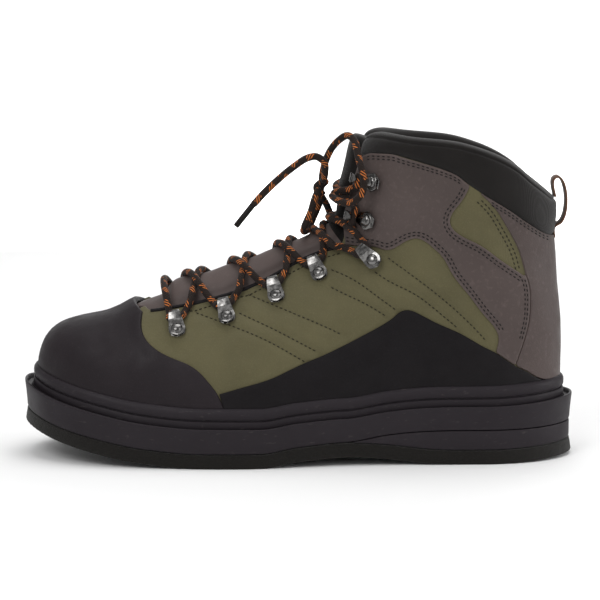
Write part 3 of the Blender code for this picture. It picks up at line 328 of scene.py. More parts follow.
# Stitched lines across the quarter, in the same side view.
QUILTING = (
    ((0.660, 0.574), (0.749, 0.448), (0.821, 0.322), (0.841, 0.277)),
    ((0.637, 0.526), (0.667, 0.485), (0.701, 0.461), (0.733, 0.416), (0.771, 0.354), (0.789, 0.326)),
    ((0.559, 0.528), (0.585, 0.512), (0.614, 0.482), (0.640, 0.444), (0.682, 0.385)),
    ((0.559, 0.472), (0.585, 0.448), (0.621, 0.417), (0.660, 0.370)),
    ((0.411, 0.442), (0.475, 0.398), (0.559, 0.333), (0.585, 0.305)),
    ((0.395, 0.384), (0.452, 0.339), (0.498, 0.295), (0.541, 0.249)),
    ((0.318, 0.380), (0.392, 0.336), (0.431, 0.310), (0.465, 0.279), (0.516, 0.219)),
)

SHAFT = table(
    "height width",
    (0.20, 0.470),
    (0.36, 0.485),
    (0.46, 0.495),
    (0.60, 0.470),
    (0.80, 0.480),
    (1.00, 0.500),
)

# Lace loops and hooks: the rivet's place and the tip's, in the same side view, and 1 where they
# sit on the leather.
LOOPS = (
    (0.2870, 0.320, 0.2800, 0.384, 0),
    (0.3760, 0.364, 0.3670, 0.430, 0),
    (0.4640, 0.434, 0.4570, 0.493, 0),
    (0.5410, 0.508, 0.5270, 0.565, 0),
    (0.6380, 0.558, 0.6120, 0.607, 1),
)

HOOKS = (
    (0.6300, 0.694, 0.6010, 0.710, 1),
    (0.6400, 0.825, 0.6040, 0.842, 1),
)

# Free parts of the lace, in metres: the knot, the bow's two loops, the two ends and their tips.
KNOT = Vector((0.0146, -0.0038, 0.1565))
STANDING_LOOP = (
    (0.0147, -0.0085, 0.1606),
    (0.0150, -0.0120, 0.1667),
    (0.0164, -0.0150, 0.1734),
    (0.0193, -0.0170, 0.1806),
    (0.0239, -0.0200, 0.1866),
    (0.0294, -0.0240, 0.1901),
    (0.0336, -0.0300, 0.1867),
    (0.0352, -0.0360, 0.1790),
    (0.0374, -0.0415, 0.1708),
    (0.0386, -0.0420, 0.1622),
    (0.0361, -0.0410, 0.1557),
    (0.0307, -0.0370, 0.1519),
    (0.0244, -0.0300, 0.1524),
    (0.0199, -0.0200, 0.1548),
)
FALLING_LOOP = (
    (0.0130, -0.0090, 0.1577),
    (0.0103, -0.0140, 0.1522),
    (0.0080, -0.0165, 0.1448),
    (0.0047, -0.0155, 0.1370),
    (0.0039, -0.0090, 0.1328),
    (0.0065, -0.0010, 0.1332),
    (0.0101, 0.0030, 0.1406),
    (0.0131, 0.0020, 0.1478),
    (0.0145, -0.0020, 0.1529),
)
LONG_END = (
    (0.0156, -0.0125, 0.1627),
    (0.0164, -0.0200, 0.1691),
    (0.0158, -0.0235, 0.1746),
    (0.0111, -0.0250, 0.1779),
    (0.0053, -0.0260, 0.1768),
    (-0.0005, -0.0280, 0.1732),
    (-0.0086, -0.0300, 0.1670),
    (-0.0179, -0.0325, 0.1585),
    (-0.0257, -0.0340, 0.1502),
)
SHORT_END = (
    (0.0149, 0.0009, 0.1522),
    (0.0180, 0.0100, 0.1460),
    (0.0200, 0.0220, 0.1380),
    (0.0180, 0.0340, 0.1280),
    (0.0120, 0.0420, 0.1160),
    (0.0060, 0.0450, 0.1060),
)
LONG_TIP = (
    (-0.0260, -0.0340, 0.1499),
    (-0.0355, -0.0365, 0.1382),
)
SHORT_TIP = (
    (0.0058, 0.0451, 0.1056),
    (-0.0010, 0.0460, 0.0930),
)


# The last's own form.


def smooth_curve(xs, ys):
    """A smooth function through the points that never overshoots them. Takes numbers or arrays."""
    xs, ys = np.asarray(xs, float), np.asarray(ys, float)
    h, n = np.diff(xs), len(xs)
    d = np.diff(ys) / h
    m = np.zeros(n)
    m[0], m[-1] = d[0], d[-1]
    for i in range(1, n - 1):
        if d[i - 1] * d[i] > 0:
            a, b = 2 * h[i] + h[i - 1], h[i] + 2 * h[i - 1]
            m[i] = (a + b) / (a / d[i - 1] + b / d[i])

    def value(x):
        x = np.clip(x, xs[0], xs[-1])
        i = np.clip(np.searchsorted(xs, x, side="right") - 1, 0, n - 2)
        t = (x - xs[i]) / h[i]
        low = ys[i] * (1 + 2 * t) * (1 - t) ** 2 + m[i] * h[i] * t * (1 - t) ** 2
        return low + ys[i + 1] * t * t * (3 - 2 * t) + m[i + 1] * h[i] * t * t * (t - 1)

    return value


def blend(x, low, high):
    """Smooth step from 0 at low to 1 at high."""
    t = np.clip((x - low) / (high - low), 0.0, 1.0)
    return t * t * (3 - 2 * t)


def cap(depth, fullness):
    """Rounding of a section's end: 0 at the end, 1 from a depth of 1 on."""
    return (1 - (1 - np.clip(depth, 0.0, 1.0)) ** fullness) ** (1 / fullness)


def at_x(share):
    """Place along the boot, from its share of the sole's length."""
    return (share - 0.5) * SOLE_LENGTH


def at_z(height):
    """Height over the ground, from its share of the upper's height."""
    return FELT_THICKNESS + MIDSOLE_THICKNESS + height * UPPER_HEIGHT


spring = smooth_curve(STACK["share"], STACK["spring"] * TOE_SPRING)
arch = smooth_curve(STACK["share"], STACK["arch"] * ARCH_RISE)
lift = smooth_curve(STACK["share"], STACK["lift"] * LIFT_THICKNESS)
midsole_depth = smooth_curve(STACK["share"], STACK["rim"] * MIDSOLE_THICKNESS)


def sole_share(x):
    return x / SOLE_LENGTH + 0.5


def ground(x):
    return spring(sole_share(x)) + arch(sole_share(x))


def felt_top(x):
    return ground(x) + FELT_THICKNESS


def midsole_bottom(x):
    return felt_top(x) + GAP + lift(sole_share(x))


def rim_top(x):
    return midsole_bottom(x) + midsole_depth(sole_share(x))


def shelf(x):
    return rim_top(x) - GUTTER_DEPTH / 3


class Profile:
    """Front or back line of the side view, read by height or by share of its length."""

    def __init__(self, rows, closed_at=None, samples=4000):
        xs, zs = at_x(rows["x"]), at_z(rows["height"])
        zs[0] = shelf(xs[0]) + GAP
        run = np.concatenate(([0.0], np.cumsum(np.hypot(np.diff(xs), np.diff(zs)))))
        self.length = run[closed_at] if closed_at else run[-1]
        self.whole = run[-1]
        self.x_of, self.z_of = smooth_curve(run, xs), smooth_curve(run, zs)
        steps = np.linspace(0, run[-1], samples + 1)
        self.xs, self.zs, self.steps = self.x_of(steps), self.z_of(steps), steps

    def at(self, share):
        return self.x_of(share * self.length), self.z_of(share * self.length)

    def share_at(self, z):
        return np.interp(z, self.zs, self.steps) / self.length

    def x_at(self, z):
        return np.interp(z, self.zs, self.xs)


front = Profile(FRONT, COLLAR_ROW)
back = Profile(BACK)
TOE_X, HEEL_X = float(front.xs[0]), float(back.xs[0])


RIDGE_STEPS = 320
RIDGE_CELL = 0.00075


class Ridge:
    """How deep a point of the side view lies below the ridge of toe and instep, from a fine grid."""

    def __init__(self, line, rounding):
        steps = np.linspace(0, line.whole, RIDGE_STEPS + 1)
        points = np.column_stack((line.x_of(steps), line.z_of(steps)))
        points = np.vstack(((points[0, 0], -points[0, 1]), points))
        self.start, run = points[:-1], np.diff(points, axis=0)
        self.length = np.hypot(run[:, 0], run[:, 1])
        self.along = run / self.length[:, None]
        self.weight = rounding((points[1:, 1] + points[:-1, 1]) / 2) ** 2
        self.xs = np.arange(at_x(-0.02), at_x(0.92), RIDGE_CELL)
        self.zs = np.arange(0.0, at_z(1.3), RIDGE_CELL)
        outside = self.xs[None] < line.x_at(self.zs)[:, None]
        rows = [self.measured(self.xs, z) for z in self.zs]
        self.grid = np.where(outside, -1.0, 1.0) * np.array(rows)

    def measured(self, x, z):
        off = np.stack(np.broadcast_arrays(x, z), axis=-1)[..., None, :] - self.start
        near = (off * self.along).sum(axis=-1)
        height2 = np.maximum((off**2).sum(axis=-1) - near**2, 1e-14)
        far = self.length - near
        total = far / np.sqrt(height2 + far**2) + near / np.sqrt(height2 + near**2)
        return np.sqrt(2 / (self.weight * total / height2).sum(axis=-1))

    def depth(self, x, z):
        i = np.clip((np.asarray(x) - self.xs[0]) / RIDGE_CELL, 0, len(self.xs) - 1.001)
        j = np.clip((np.asarray(z) - self.zs[0]) / RIDGE_CELL, 0, len(self.zs) - 1.001)
        i, j = np.broadcast_arrays(i, j)
        a, b = i.astype(int), j.astype(int)
        s, t = i - a, j - b
        low = self.grid[b, a] * (1 - s) + self.grid[b, a + 1] * s
        high = self.grid[b + 1, a] * (1 - s) + self.grid[b + 1, a + 1] * s
        return low * (1 - t) + high * t


crown_height = np.concatenate(([shelf(at_x(FRONT["x"][0])) + GAP], at_z(FRONT["height"][1:])))
ridge = Ridge(front, lambda z: CROWN_ROUNDING * np.interp(z, crown_height, FRONT["rounding"]))
rim_height = smooth_curve(at_x(RIM["x"]), at_z(RIM["height"]))
edge_height = smooth_curve(at_x(EDGE["x"]), at_z(EDGE["height"]))
shaft_half = smooth_curve(at_z(SHAFT["height"]), SHAFT["width"] * SHAFT_WIDTH)
outer_half = smooth_curve(PLAN["share"], PLAN["outer"] * BALL_WIDTH)
inner_half = smooth_curve(PLAN["share"], PLAN["inner"] * BALL_WIDTH)
swing = smooth_curve(PLAN["share"], PLAN["swing"] * BALL_WIDTH)
fullness = smooth_curve(PLAN["share"], PLAN["fullness"])


def upper_share(x):
    return np.clip((x - TOE_X) / (HEEL_X - TOE_X), 0.0, 1.0)


def centre_y(x):
    return swing(upper_share(x))


# The shaft's own width takes over between these heights and these places along the sole.
SHAFT_FROM, SHAFT_TO = (0.46, 0.20), (0.66, 0.52)


def half_width(side, x, z):
    """Half width of the upper's outer face at points of the side view."""
    share = upper_share(x)
    base = np.where(np.asarray(side) < 0, outer_half(share), inner_half(share))
    shaft = blend(x, at_x(SHAFT_FROM[0]), at_x(SHAFT_TO[0]))
    shaft = shaft * blend(z, at_z(SHAFT_FROM[1]), at_z(SHAFT_TO[1]))
    base = base + (shaft_half(z) - base) * shaft
    closing = cap(ridge.depth(x, z), fullness(share))
    return base * closing * cap((back.x_at(z) - x) / HEEL_ROUNDING, 2.0)


def side_view(g, v):
    """Point of the side view at share g from front to back and share v from sole to collar."""
    xb = TOE_X + (HEEL_X - TOE_X) * g
    bottom = (xb, shelf(xb) + GAP)
    front_top, back_top = front.at(1), back.at(1)
    xt = front_top[0] + (back_top[0] - front_top[0]) * g
    top = (xt, rim_height(xt))
    corners = ((TOE_X, shelf(TOE_X) + GAP), (HEEL_X, shelf(HEEL_X) + GAP), front_top, back_top)
    fore, aft = front.at(v), back.at(v)
    point = []
    for i in (0, 1):
        low_fore, low_aft, high_fore, high_aft = (c[i] for c in corners)
        edges = (1 - v) * bottom[i] + v * top[i] + (1 - g) * fore[i] + g * aft[i]
        twist = (1 - v) * ((1 - g) * low_fore + g * low_aft) + v * ((1 - g) * high_fore + g * high_aft)
        point.append(edges - twist)
    return point


def on_body(side, x, z):
    y = centre_y(x) + side * half_width(side, x, z)
    return np.stack(np.broadcast_arrays(x, y, z), axis=-1)


# Soft creases: points in the side view, depth in metres (a ridge is negative)
# and half width in metres.
CREASES = (
    (((0.205, 0.400), (0.198, 0.350), (0.205, 0.290), (0.225, 0.235)), 0.0009, 0.0040),
    (((0.178, 0.370), (0.176, 0.325), (0.190, 0.270)), 0.0006, 0.0045),
    (((0.150, 0.350), (0.148, 0.300), (0.160, 0.245)), 0.0004, 0.0050),
    (((0.245, 0.330), (0.262, 0.285), (0.292, 0.250)), 0.0005, 0.0040),
    (((0.600, 0.590), (0.660, 0.560), (0.720, 0.545), (0.780, 0.560)), 0.0009, 0.0060),
    (((0.625, 0.640), (0.680, 0.660), (0.740, 0.655)), 0.0006, 0.0065),
    (((0.640, 0.500), (0.700, 0.500), (0.760, 0.480)), -0.0005, 0.0060),
    (((0.620, 0.760), (0.690, 0.740), (0.760, 0.760)), 0.0004, 0.0080),
    (((0.350, 0.300), (0.400, 0.260), (0.440, 0.235)), 0.0004, 0.0060),
    (((0.820, 0.420), (0.860, 0.400), (0.895, 0.410)), 0.0004, 0.0060),
    (((0.930, 0.300), (0.955, 0.290), (0.975, 0.300)), 0.0003, 0.0060),
)
QUILT_DEPTH = 0.0010
QUILT_WIDTH = 0.0021
SLACK = 0.00022
SLACK_LENGTH = 0.011


def to_line(points, samples=40):
    """Points of a smooth line through shares of the side view, in metres."""
    chosen = [Vector((at_x(x), at_z(h), 0)) for x, h in points]
    return np.array([p[:2] for p in smooth_path(chosen, samples)])


def smooth_path(points, samples):
    """Points of a smooth curve through chosen points, evenly spaced by share."""
    points = [Vector(p) for p in points]
    run = [0.0]
    for a, b in zip(points, points[1:]):
        run.append(run[-1] + (b - a).length)
    slopes = []
    for i in range(len(points)):
        a, b = max(i - 1, 0), min(i + 1, len(points) - 1)
        slopes.append((points[b] - points[a]) / (run[b] - run[a]))
    path = []
    for k in range(samples + 1):
        s = run[-1] * k / samples
        i = min(max(j for j in range(len(run)) if run[j] <= s + 1e-12), len(run) - 2)
        h = run[i + 1] - run[i]
        t = (s - run[i]) / h
        path.append(
            points[i] * ((1 + 2 * t) * (1 - t) ** 2)
            + slopes[i] * (h * t * (1 - t) ** 2)
            + points[i + 1] * (t * t * (3 - 2 * t))
            + slopes[i + 1] * (h * t * t * (t - 1))
        )
    return path


def nearest(points, line, closed=False):
    """Distance from each point to a line of points."""
    ends = np.roll(line, -1, axis=0) if closed else line[1:]
    starts = line if closed else line[:-1]
    run = ends - starts
    size = np.maximum((run**2).sum(axis=1), 1e-18)
    best = np.full(len(points), 1e9)
    for a, r, s in zip(starts, run, size):
        t = np.clip(((points - a) @ r) / s, 0, 1)
        off = points - a - t[:, None] * r
        best = np.minimum(best, (off**2).sum(axis=1))
    return np.sqrt(best)


def eased(line, passes):
    """The line with its kinks smoothed out."""
    for _ in range(passes):
        line[1:-1] = (line[:-2] + 2 * line[1:-1] + line[2:]) / 4
    return line


crease_lines = [(to_line(points, 14), depth, width) for points, depth, width in CREASES]
quilt_lines = [eased(to_line(points, 60), 40)[::3] for points in QUILTING]


def waver(x, z, size):
    """A slow, smooth unevenness between -1 and 1."""
    a = np.sin(x / size + 1.7 * np.sin(z / size * 0.8 + 0.4))
    b = np.sin(z / size * 1.3 + 1.9 * np.sin(x / size * 0.7 + 2.1))
    return 0.5 * (a + b)


def relief(x, z, quilted):
    """How far the surface stands off the last there: creases, quilting and slack."""
    points = np.column_stack((np.ravel(x), np.ravel(z)))
    rise = SLACK * waver(points[:, 0], points[:, 1], SLACK_LENGTH)
    for line, depth, width in crease_lines:
        rise -= depth * np.exp(-((nearest(points, line) / width) ** 2))
    if quilted:
        for line in quilt_lines:
            rise -= QUILT_DEPTH * np.exp(-((nearest(points, line) / QUILT_WIDTH) ** 2))
    return rise.reshape(np.shape(x))


def lifted(place, a, b, out, step_a, step_b, outward):
    """Points of a surface moved off along its own normal."""
    point = place(a, b)
    along = place(a + step_a, b) - place(a - step_a, b)
    up = place(a, b + step_b) - place(a, b - step_b)
    normal = np.cross(along, up) * np.asarray(outward)[..., None]
    normal /= np.maximum(np.linalg.norm(normal, axis=-1), 1e-12)[..., None]
    return point + normal * np.asarray(out)[..., None]


NORMAL_STEP = 0.0006


def on_side(side, x, z, out, quilted=False):
    """Points over one side of the boot, from the side view."""
    out = out + relief(x, z, quilted)
    return lifted(lambda a, b: on_body(side, a, b), x, z, out, NORMAL_STEP, NORMAL_STEP, -side)


def ring_view(s, v):
    """Side and side-view point of a ring place: s is -1 to 0 on the outer side and 0 to 1 on the inner."""
    s = (s + 1) % 2 - 1
    side = np.where(s < 0, OUTER, INNER)
    g = (1 - np.cos(math.pi * np.abs(s))) / 2
    x, z = side_view(g, v)
    return side, x, z


CLOSED_WITHIN = 0.002
RING_STEP = 0.0025


def ring_body(s, v):
    side, x, z = ring_view(s, v)
    off_end = np.minimum(np.abs((s + 1) % 2 - 1), 1 - np.abs((s + 1) % 2 - 1))
    closing = off_end / np.hypot(off_end, CLOSED_WITHIN)
    y = centre_y(x) + side * half_width(side, x, z) * closing
    return np.stack(np.broadcast_arrays(x, y, z), axis=-1)


def on_ring(s, v, out, quilted=False):
    """Points round the boot: s runs from the heel over the outer side to the toe and back on the
    inner side, v from the sole to the collar."""
    _, x, z = ring_view(s, v)
    out = out + relief(x, z, quilted)
    return lifted(ring_body, s, v, out, RING_STEP, RING_STEP, -1.0)


def ring_place(points):
    """Ring place (g, v) of side-view points, by Newton steps."""
    x, z = points[:, 0], points[:, 1]
    gs, vs = np.meshgrid(np.linspace(0, 1, 61), np.linspace(0, 1, 61))
    gx, gz = side_view(gs.ravel(), vs.ravel())
    start = ((gx[None] - x[:, None]) ** 2 + (gz[None] - z[:, None]) ** 2).argmin(axis=1)
    g, v = gs.ravel()[start], vs.ravel()[start]
    e = 1e-4
    for _ in range(12):
        px, pz = side_view(g, v)
        ax, az = side_view(g + e, v)
        bx, bz = side_view(g, v + e)
        jxg, jzg, jxv, jzv = (ax - px) / e, (az - pz) / e, (bx - px) / e, (bz - pz) / e
        det = jxg * jzv - jxv * jzg
        det = np.where(np.abs(det) < 1e-6, 1e-6, det)
        dg = (jzv * (x - px) - jxv * (z - pz)) / det
        dv = (-jzg * (x - px) + jxg * (z - pz)) / det
        g = np.clip(g + np.clip(dg, -0.05, 0.05), 0, 1)
        v = np.clip(v + np.clip(dv, -0.05, 0.05), 0, 1.2)
    return g, v


# Finishes.

DULLNESS = 0.14


def scaled(colour, share):
    """The same colour, darker or lighter."""
    return tuple(share * c for c in colour)


class Finish:
    """A material's node tree, built step by step."""

    def __init__(self, name, colour, roughness, **sockets):
        self.material = bpy.data.materials.new(name)
        self.material.use_nodes = True
        self.tree = self.material.node_tree
        self.shader = self.tree.nodes["Principled BSDF"]
        self.shader.inputs["Base Color"].default_value = (*colour, 1)
        self.shader.inputs["Roughness"].default_value = roughness
        self.shader.inputs["Specular IOR Level"].default_value = DULLNESS
        for key, value in sockets.items():
            self.shader.inputs[key.replace("_", " ")].default_value = value
        self.colour = (*colour, 1)
        self.last_colour = None
        self.last_bump = None
        self.coordinates = self.node("ShaderNodeTexCoord")

    def node(self, kind, inputs=(), **settings):
        made = self.tree.nodes.new(kind)
        for key, value in settings.items():
            setattr(made, key, value)
        for key, value in dict(inputs).items():
            self.put(value, made.inputs[key])
        return made

    def put(self, value, socket):
        if isinstance(value, bpy.types.NodeSocket):
            self.tree.links.new(value, socket)
        else:
            socket.default_value = value

    def place(self, kind="Object", scale=(1, 1, 1), turn=0.0):
        inputs = {"Vector": self.coordinates.outputs[kind], "Scale": scale, "Rotation": (0, 0, turn)}
        return self.node("ShaderNodeMapping", inputs).outputs[0]

    def noise(self, scale, detail=3.0, rough=0.55, at=None, warp=0.0):
        at = at or self.coordinates.outputs["Object"]
        inputs = {"Vector": at, "Scale": scale, "Detail": detail, "Roughness": rough, "Distortion": warp}
        return self.node("ShaderNodeTexNoise", inputs).outputs[0]

    def cells(self, scale, at=None, feature="F1"):
        at = at or self.coordinates.outputs["Object"]
        inputs = {"Vector": at, "Scale": scale}
        return self.node("ShaderNodeTexVoronoi", inputs, feature=feature).outputs["Distance"]

    def waves(self, scale, at, direction="X", warp=0.0):
        inputs = {"Vector": at, "Scale": scale, "Distortion": warp, "Detail": 1.0}
        return self.node("ShaderNodeTexWave", inputs, bands_direction=direction).outputs[0]

    def ranged(self, value, low, high, to_low=0.0, to_high=1.0):
        inputs = {0: value, 1: low, 2: high, 3: to_low, 4: to_high}
        return self.node("ShaderNodeMapRange", inputs).outputs[0]

    def maths(self, operation, a, b=0.0):
        return self.node("ShaderNodeMath", {0: a, 1: b}, operation=operation).outputs[0]

    def attribute(self, name):
        return self.node("ShaderNodeAttribute", attribute_name=name).outputs["Fac"]

    def tint(self, share, colour):
        """Mixes a second colour over the first, by share."""
        mixed = self.node("ShaderNodeMix", data_type="RGBA")
        self.put(share, mixed.inputs[0])
        self.put(self.last_colour or self.colour, mixed.inputs[6])
        mixed.inputs[7].default_value = (*colour, 1)
        self.last_colour = mixed.outputs[2]
        self.tree.links.new(self.last_colour, self.shader.inputs["Base Color"])
        return self

    def rough(self, value, low, high):
        self.tree.links.new(self.ranged(value, 0.3, 0.7, low, high), self.shader.inputs["Roughness"])
        return self

    def bump(self, height, depth, strength=1.0):
        """Relief of a depth in metres."""
        made = self.node("ShaderNodeBump", {"Strength": strength, "Distance": depth, "Height": height})
        if self.last_bump:
            self.tree.links.new(self.last_bump, made.inputs["Normal"])
        self.last_bump = made.outputs[0]
        self.tree.links.new(self.last_bump, self.shader.inputs["Normal"])
        return self


def olive_textile(colour):
    made = Finish("olive_textile", colour, 0.78, Sheen_Weight=0.12, Sheen_Roughness=0.5)
    across = made.waves(420, made.place(turn=0.5), "X", 0.6)
    up = made.waves(420, made.place(turn=0.5), "Z", 0.6)
    weave = made.maths("MULTIPLY", across, up)
    cloud = made.noise(38, 3)
    made.tint(made.ranged(cloud, 0.35, 0.75, 0.0, 0.45), scaled(colour, 0.62))
    made.tint(made.ranged(made.noise(1400, 2), 0.5, 0.8, 0.0, 0.35), scaled(colour, 1.45))
    made.rough(made.noise(120, 2), 0.70, 0.86)
    made.bump(weave, 0.00016, 0.55)
    made.bump(made.noise(650, 3), 0.00022, 0.5)
    return made.material


def grey_leather(colour):
    made = Finish("grey_leather", colour, 0.46)
    made.tint(made.ranged(made.noise(26, 4), 0.35, 0.7, 0.0, 0.5), scaled(colour, 0.66))
    made.tint(made.ranged(made.noise(420, 3), 0.55, 0.8, 0.0, 0.45), scaled(colour, 1.7))
    # Painted highlight: the leather is lighter within about a millimetre of a panel's outline, where its
    # rounded rim would catch the light. A mesh without the edge attribute, such as the tongue, gets half this
    # lightening all over.
    made.tint(made.ranged(made.attribute("edge"), 0.0002, 0.0011, 0.5, 0.0), scaled(colour, 1.5))
    made.rough(made.noise(90, 3), 0.40, 0.58)
    made.bump(made.cells(1150), 0.00012, 0.5)
    made.bump(made.noise(520, 4), 0.00018, 0.5)
    return made.material


def coated_rubber(name, colour, roughness=0.5):
    made = Finish(name, colour, roughness)
    made.tint(made.ranged(made.noise(30, 4), 0.4, 0.75, 0.0, 0.6), scaled(colour, 1.5))
    made.tint(made.ranged(made.noise(900, 2), 0.62, 0.8, 0.0, 0.5), scaled(colour, 2.6))
    made.rough(made.noise(70, 3), roughness - 0.08, roughness + 0.12)
    made.bump(made.cells(1500), 0.00010, 0.5)
    made.bump(made.noise(300, 3), 0.00015, 0.4)
    return made.material


def moulded_rubber(colour):
    made = Finish("moulded_rubber", colour, 0.5)
    made.tint(made.ranged(made.noise(22, 4), 0.35, 0.75, 0.0, 0.5), scaled(colour, 1.35))
    dust = made.noise(210, 4, at=made.place(scale=(1, 1, 3)))
    made.tint(made.ranged(dust, 0.62, 0.8, 0.0, 0.4), (0.09, 0.08, 0.075))
    made.rough(made.noise(60, 3), 0.42, 0.62)
    made.bump(made.noise(700, 3), 0.00008, 0.5)
    return made.material


def pressed_felt(colour):
    made = Finish("pressed_felt", colour, 0.96, Sheen_Weight=0.15)
    fibres = made.noise(900, 4, at=made.place(scale=(1, 1, 2.4)), warp=1.2)
    made.tint(made.ranged(fibres, 0.45, 0.8, 0.0, 0.6), scaled(colour, 2.4))
    made.bump(fibres, 0.0006, 0.8)
    made.bump(made.noise(160, 3), 0.0006, 0.5)
    return made.material


def knit(name, colour, scale=900, roughness=0.82):
    made = Finish(name, colour, roughness, Sheen_Weight=0.2, Sheen_Roughness=0.5)
    across = made.waves(scale, made.place(turn=0.78), "X")
    up = made.waves(scale, made.place(), "Z")
    rows = made.maths("MULTIPLY", across, up)
    made.tint(made.ranged(made.noise(60, 3), 0.4, 0.75, 0.0, 0.5), scaled(colour, 1.8))
    made.tint(made.ranged(rows, 0.4, 0.9, 0.0, 0.4), scaled(colour, 2.0))
    made.bump(rows, 0.00012, 0.6)
    made.bump(made.noise(420, 3), 0.0002, 0.4)
    return made.material


def dark_steel(colour):
    made = Finish("dark_steel", colour, 0.2, Metallic=1.0)
    made.tint(made.ranged(made.noise(330, 4), 0.45, 0.62, 0.0, 0.9), scaled(colour, 0.30))
    made.rough(made.noise(260, 3), 0.10, 0.34)
    made.bump(made.noise(900, 2), 0.00004, 0.5)
    return made.material


BRAID_STRANDS = 6.0
BRAID_PITCH = 0.0052
FLECK_EVERY = 0.0098


def braided_cord(colour, fleck):
    """Braid in the cord's own UV: u round it and v along it in metres."""
    made = Finish("braided_cord", colour, 0.8, Sheen_Weight=0.05)

    def times(a, b):
        return made.maths("MULTIPLY", a, b)

    def middle_of(steps, half):
        """1 near the middle of each whole step, up to half a width on both sides of it."""
        off = made.maths("SUBTRACT", made.maths("FRACT", steps), 0.5)
        return made.maths("LESS_THAN", made.maths("ABSOLUTE", off), half)

    split = made.node("ShaderNodeSeparateXYZ", {0: made.coordinates.outputs["UV"]})
    u, v = split.outputs[0], split.outputs[1]
    along = times(v, 1 / BRAID_PITCH)
    right = made.maths("ADD", times(u, BRAID_STRANDS), times(along, 3.0))
    left = made.maths("SUBTRACT", times(u, BRAID_STRANDS), times(along, 3.0))
    ridges = [made.maths("ABSOLUTE", made.maths("SINE", times(lay, math.pi))) for lay in (right, left)]
    braid = made.maths("MAXIMUM", *ridges)
    in_group = middle_of(times(v, 1 / FLECK_EVERY), 0.25)
    in_stripe = middle_of(right, 0.20)
    twist = made.maths("ADD", times(u, 2.0), times(along, 0.4))
    in_turn = made.maths("LESS_THAN", made.maths("FRACT", twist), 0.55)
    flecks = times(times(in_group, in_stripe), in_turn)
    made.tint(made.ranged(braid, 0.2, 0.9, 0.0, 0.4), scaled(colour, 1.7))
    made.tint(flecks, fleck)
    made.bump(braid, 0.0003, 0.9)
    made.bump(made.noise(2400, 2), 0.0001, 0.5)
    return made.material


def woven_tape(colour, second):
    made = Finish("woven_tape", colour, 0.8, Sheen_Weight=0.15)
    rib = made.waves(330, made.place("UV"), "Y")
    made.tint(made.ranged(made.waves(95, made.place("UV"), "X"), 0.45, 0.6, 0.0, 1.0), second)
    made.bump(rib, 0.0002, 0.8)
    made.bump(made.noise(1500, 2), 0.0001, 0.5)
    return made.material


def plain_thread(name, colour):
    made = Finish(name, colour, 0.7, Sheen_Weight=0.1)
    made.tint(made.ranged(made.noise(2600, 2), 0.45, 0.7, 0.0, 0.5), scaled(colour, 1.8))
    made.bump(made.noise(3200, 2), 0.00008, 0.6)
    return made.material


finishes = {}


def make_finishes(colours):
    finishes["olive"] = olive_textile(tuple(colours.olive))
    finishes["grey"] = grey_leather(tuple(colours.grey))
    finishes["toe"] = coated_rubber("toe_rubber", tuple(colours.toe), 0.52)
    finishes["rand"] = coated_rubber("side_rubber", tuple(colours.rand), 0.58)
    finishes["sole"] = moulded_rubber(tuple(colours.sole))
    finishes["felt"] = pressed_felt(tuple(colours.felt))
    finishes["collar"] = knit("collar_neoprene", tuple(colours.collar), 1100, 0.8)
    finishes["lining"] = knit("shoe_lining", scaled(colours.collar, 0.8), 520, 0.9)
    finishes["steel"] = dark_steel(tuple(colours.steel))
    finishes["lace"] = braided_cord(tuple(colours.lace), tuple(colours.fleck))
    finishes["tape"] = woven_tape(tuple(colours.tape), scaled(colours.tape, 0.35))
    finishes["thread"] = plain_thread("dark_thread", scaled(colours.grey, 0.16))
    finishes["olive_thread"] = plain_thread("olive_thread", scaled(colours.olive, 0.22))
    finishes["tip"] = coated_rubber("lace_tip", tuple(colours.collar), 0.3)


# Ways to make a mesh.


def finished(name, bm, material, body="root", replaced=(), angle=35, more=()):
    """Turns a bmesh into a piece of the boot."""
    mesh = bpy.data.meshes.new(name)
    bm.to_mesh(mesh)
    bm.free()
    mesh.materials.append(material)
    for extra in more:
        mesh.materials.append(extra)
    mesh.shade_smooth()
    if angle:
        mesh.set_sharp_from_angle(angle=math.radians(angle))
    piece = bpy.data.objects.new(name, mesh)
    bpy.context.scene.collection.objects.link(piece)
    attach(piece, body)
    if replaced:
        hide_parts(*replaced)
    return piece


def edges_of(bm, row):
    """Edges of a closed ring of vertices, in order."""
    return [bm.edges.get((row[i], row[(i + 1) % len(row)])) for i in range(len(row))]


def carry(bm, rings, capped=True, uv=None):
    """Extrudes a closed section through rings of points. uv gives u by column and v by row."""
    row = bmesh.ops.create_circle(bm, segments=len(rings[0]), radius=1.0)["verts"]
    edges = edges_of(bm, row)
    for vert, p in zip(row, rings[0]):
        vert.co = p
    rows = [row]
    first = edges
    for points in rings[1:]:
        made = bmesh.ops.extrude_edge_only(bm, edges=edges)["geom"]
        fresh = {g for g in made if isinstance(g, bmesh.types.BMVert)}
        row = [next(e.other_vert(v) for e in v.link_edges if e.other_vert(v) in fresh) for v in row]
        for vert, p in zip(row, points):
            vert.co = p
        edges = edges_of(bm, row)
        rows.append(row)
    if capped:
        for loop in (first, edges):
            bmesh.ops.edgeloop_fill(bm, edges=loop)
    if uv:
        mark_uv(bm, rows, uv[0], uv[1])
    return rows


def mark_uv(bm, rows, across, along):
    """Writes a UV map: across runs round each ring (one value more than its points), along by row."""
    layer = bm.loops.layers.uv.verify()
    place = {v: (j, i) for i, row in enumerate(rows) for j, v in enumerate(row)}
    count = len(rows[0])
    for face in bm.faces:
        spots = [place.get(v) for v in face.verts]
        if None in spots:
            continue
        wraps = max(j for j, _ in spots) - min(j for j, _ in spots) > count / 2
        for loop, (j, i) in zip(face.loops, spots):
            loop[layer].uv = (across[count if wraps and j == 0 else j], along[i])


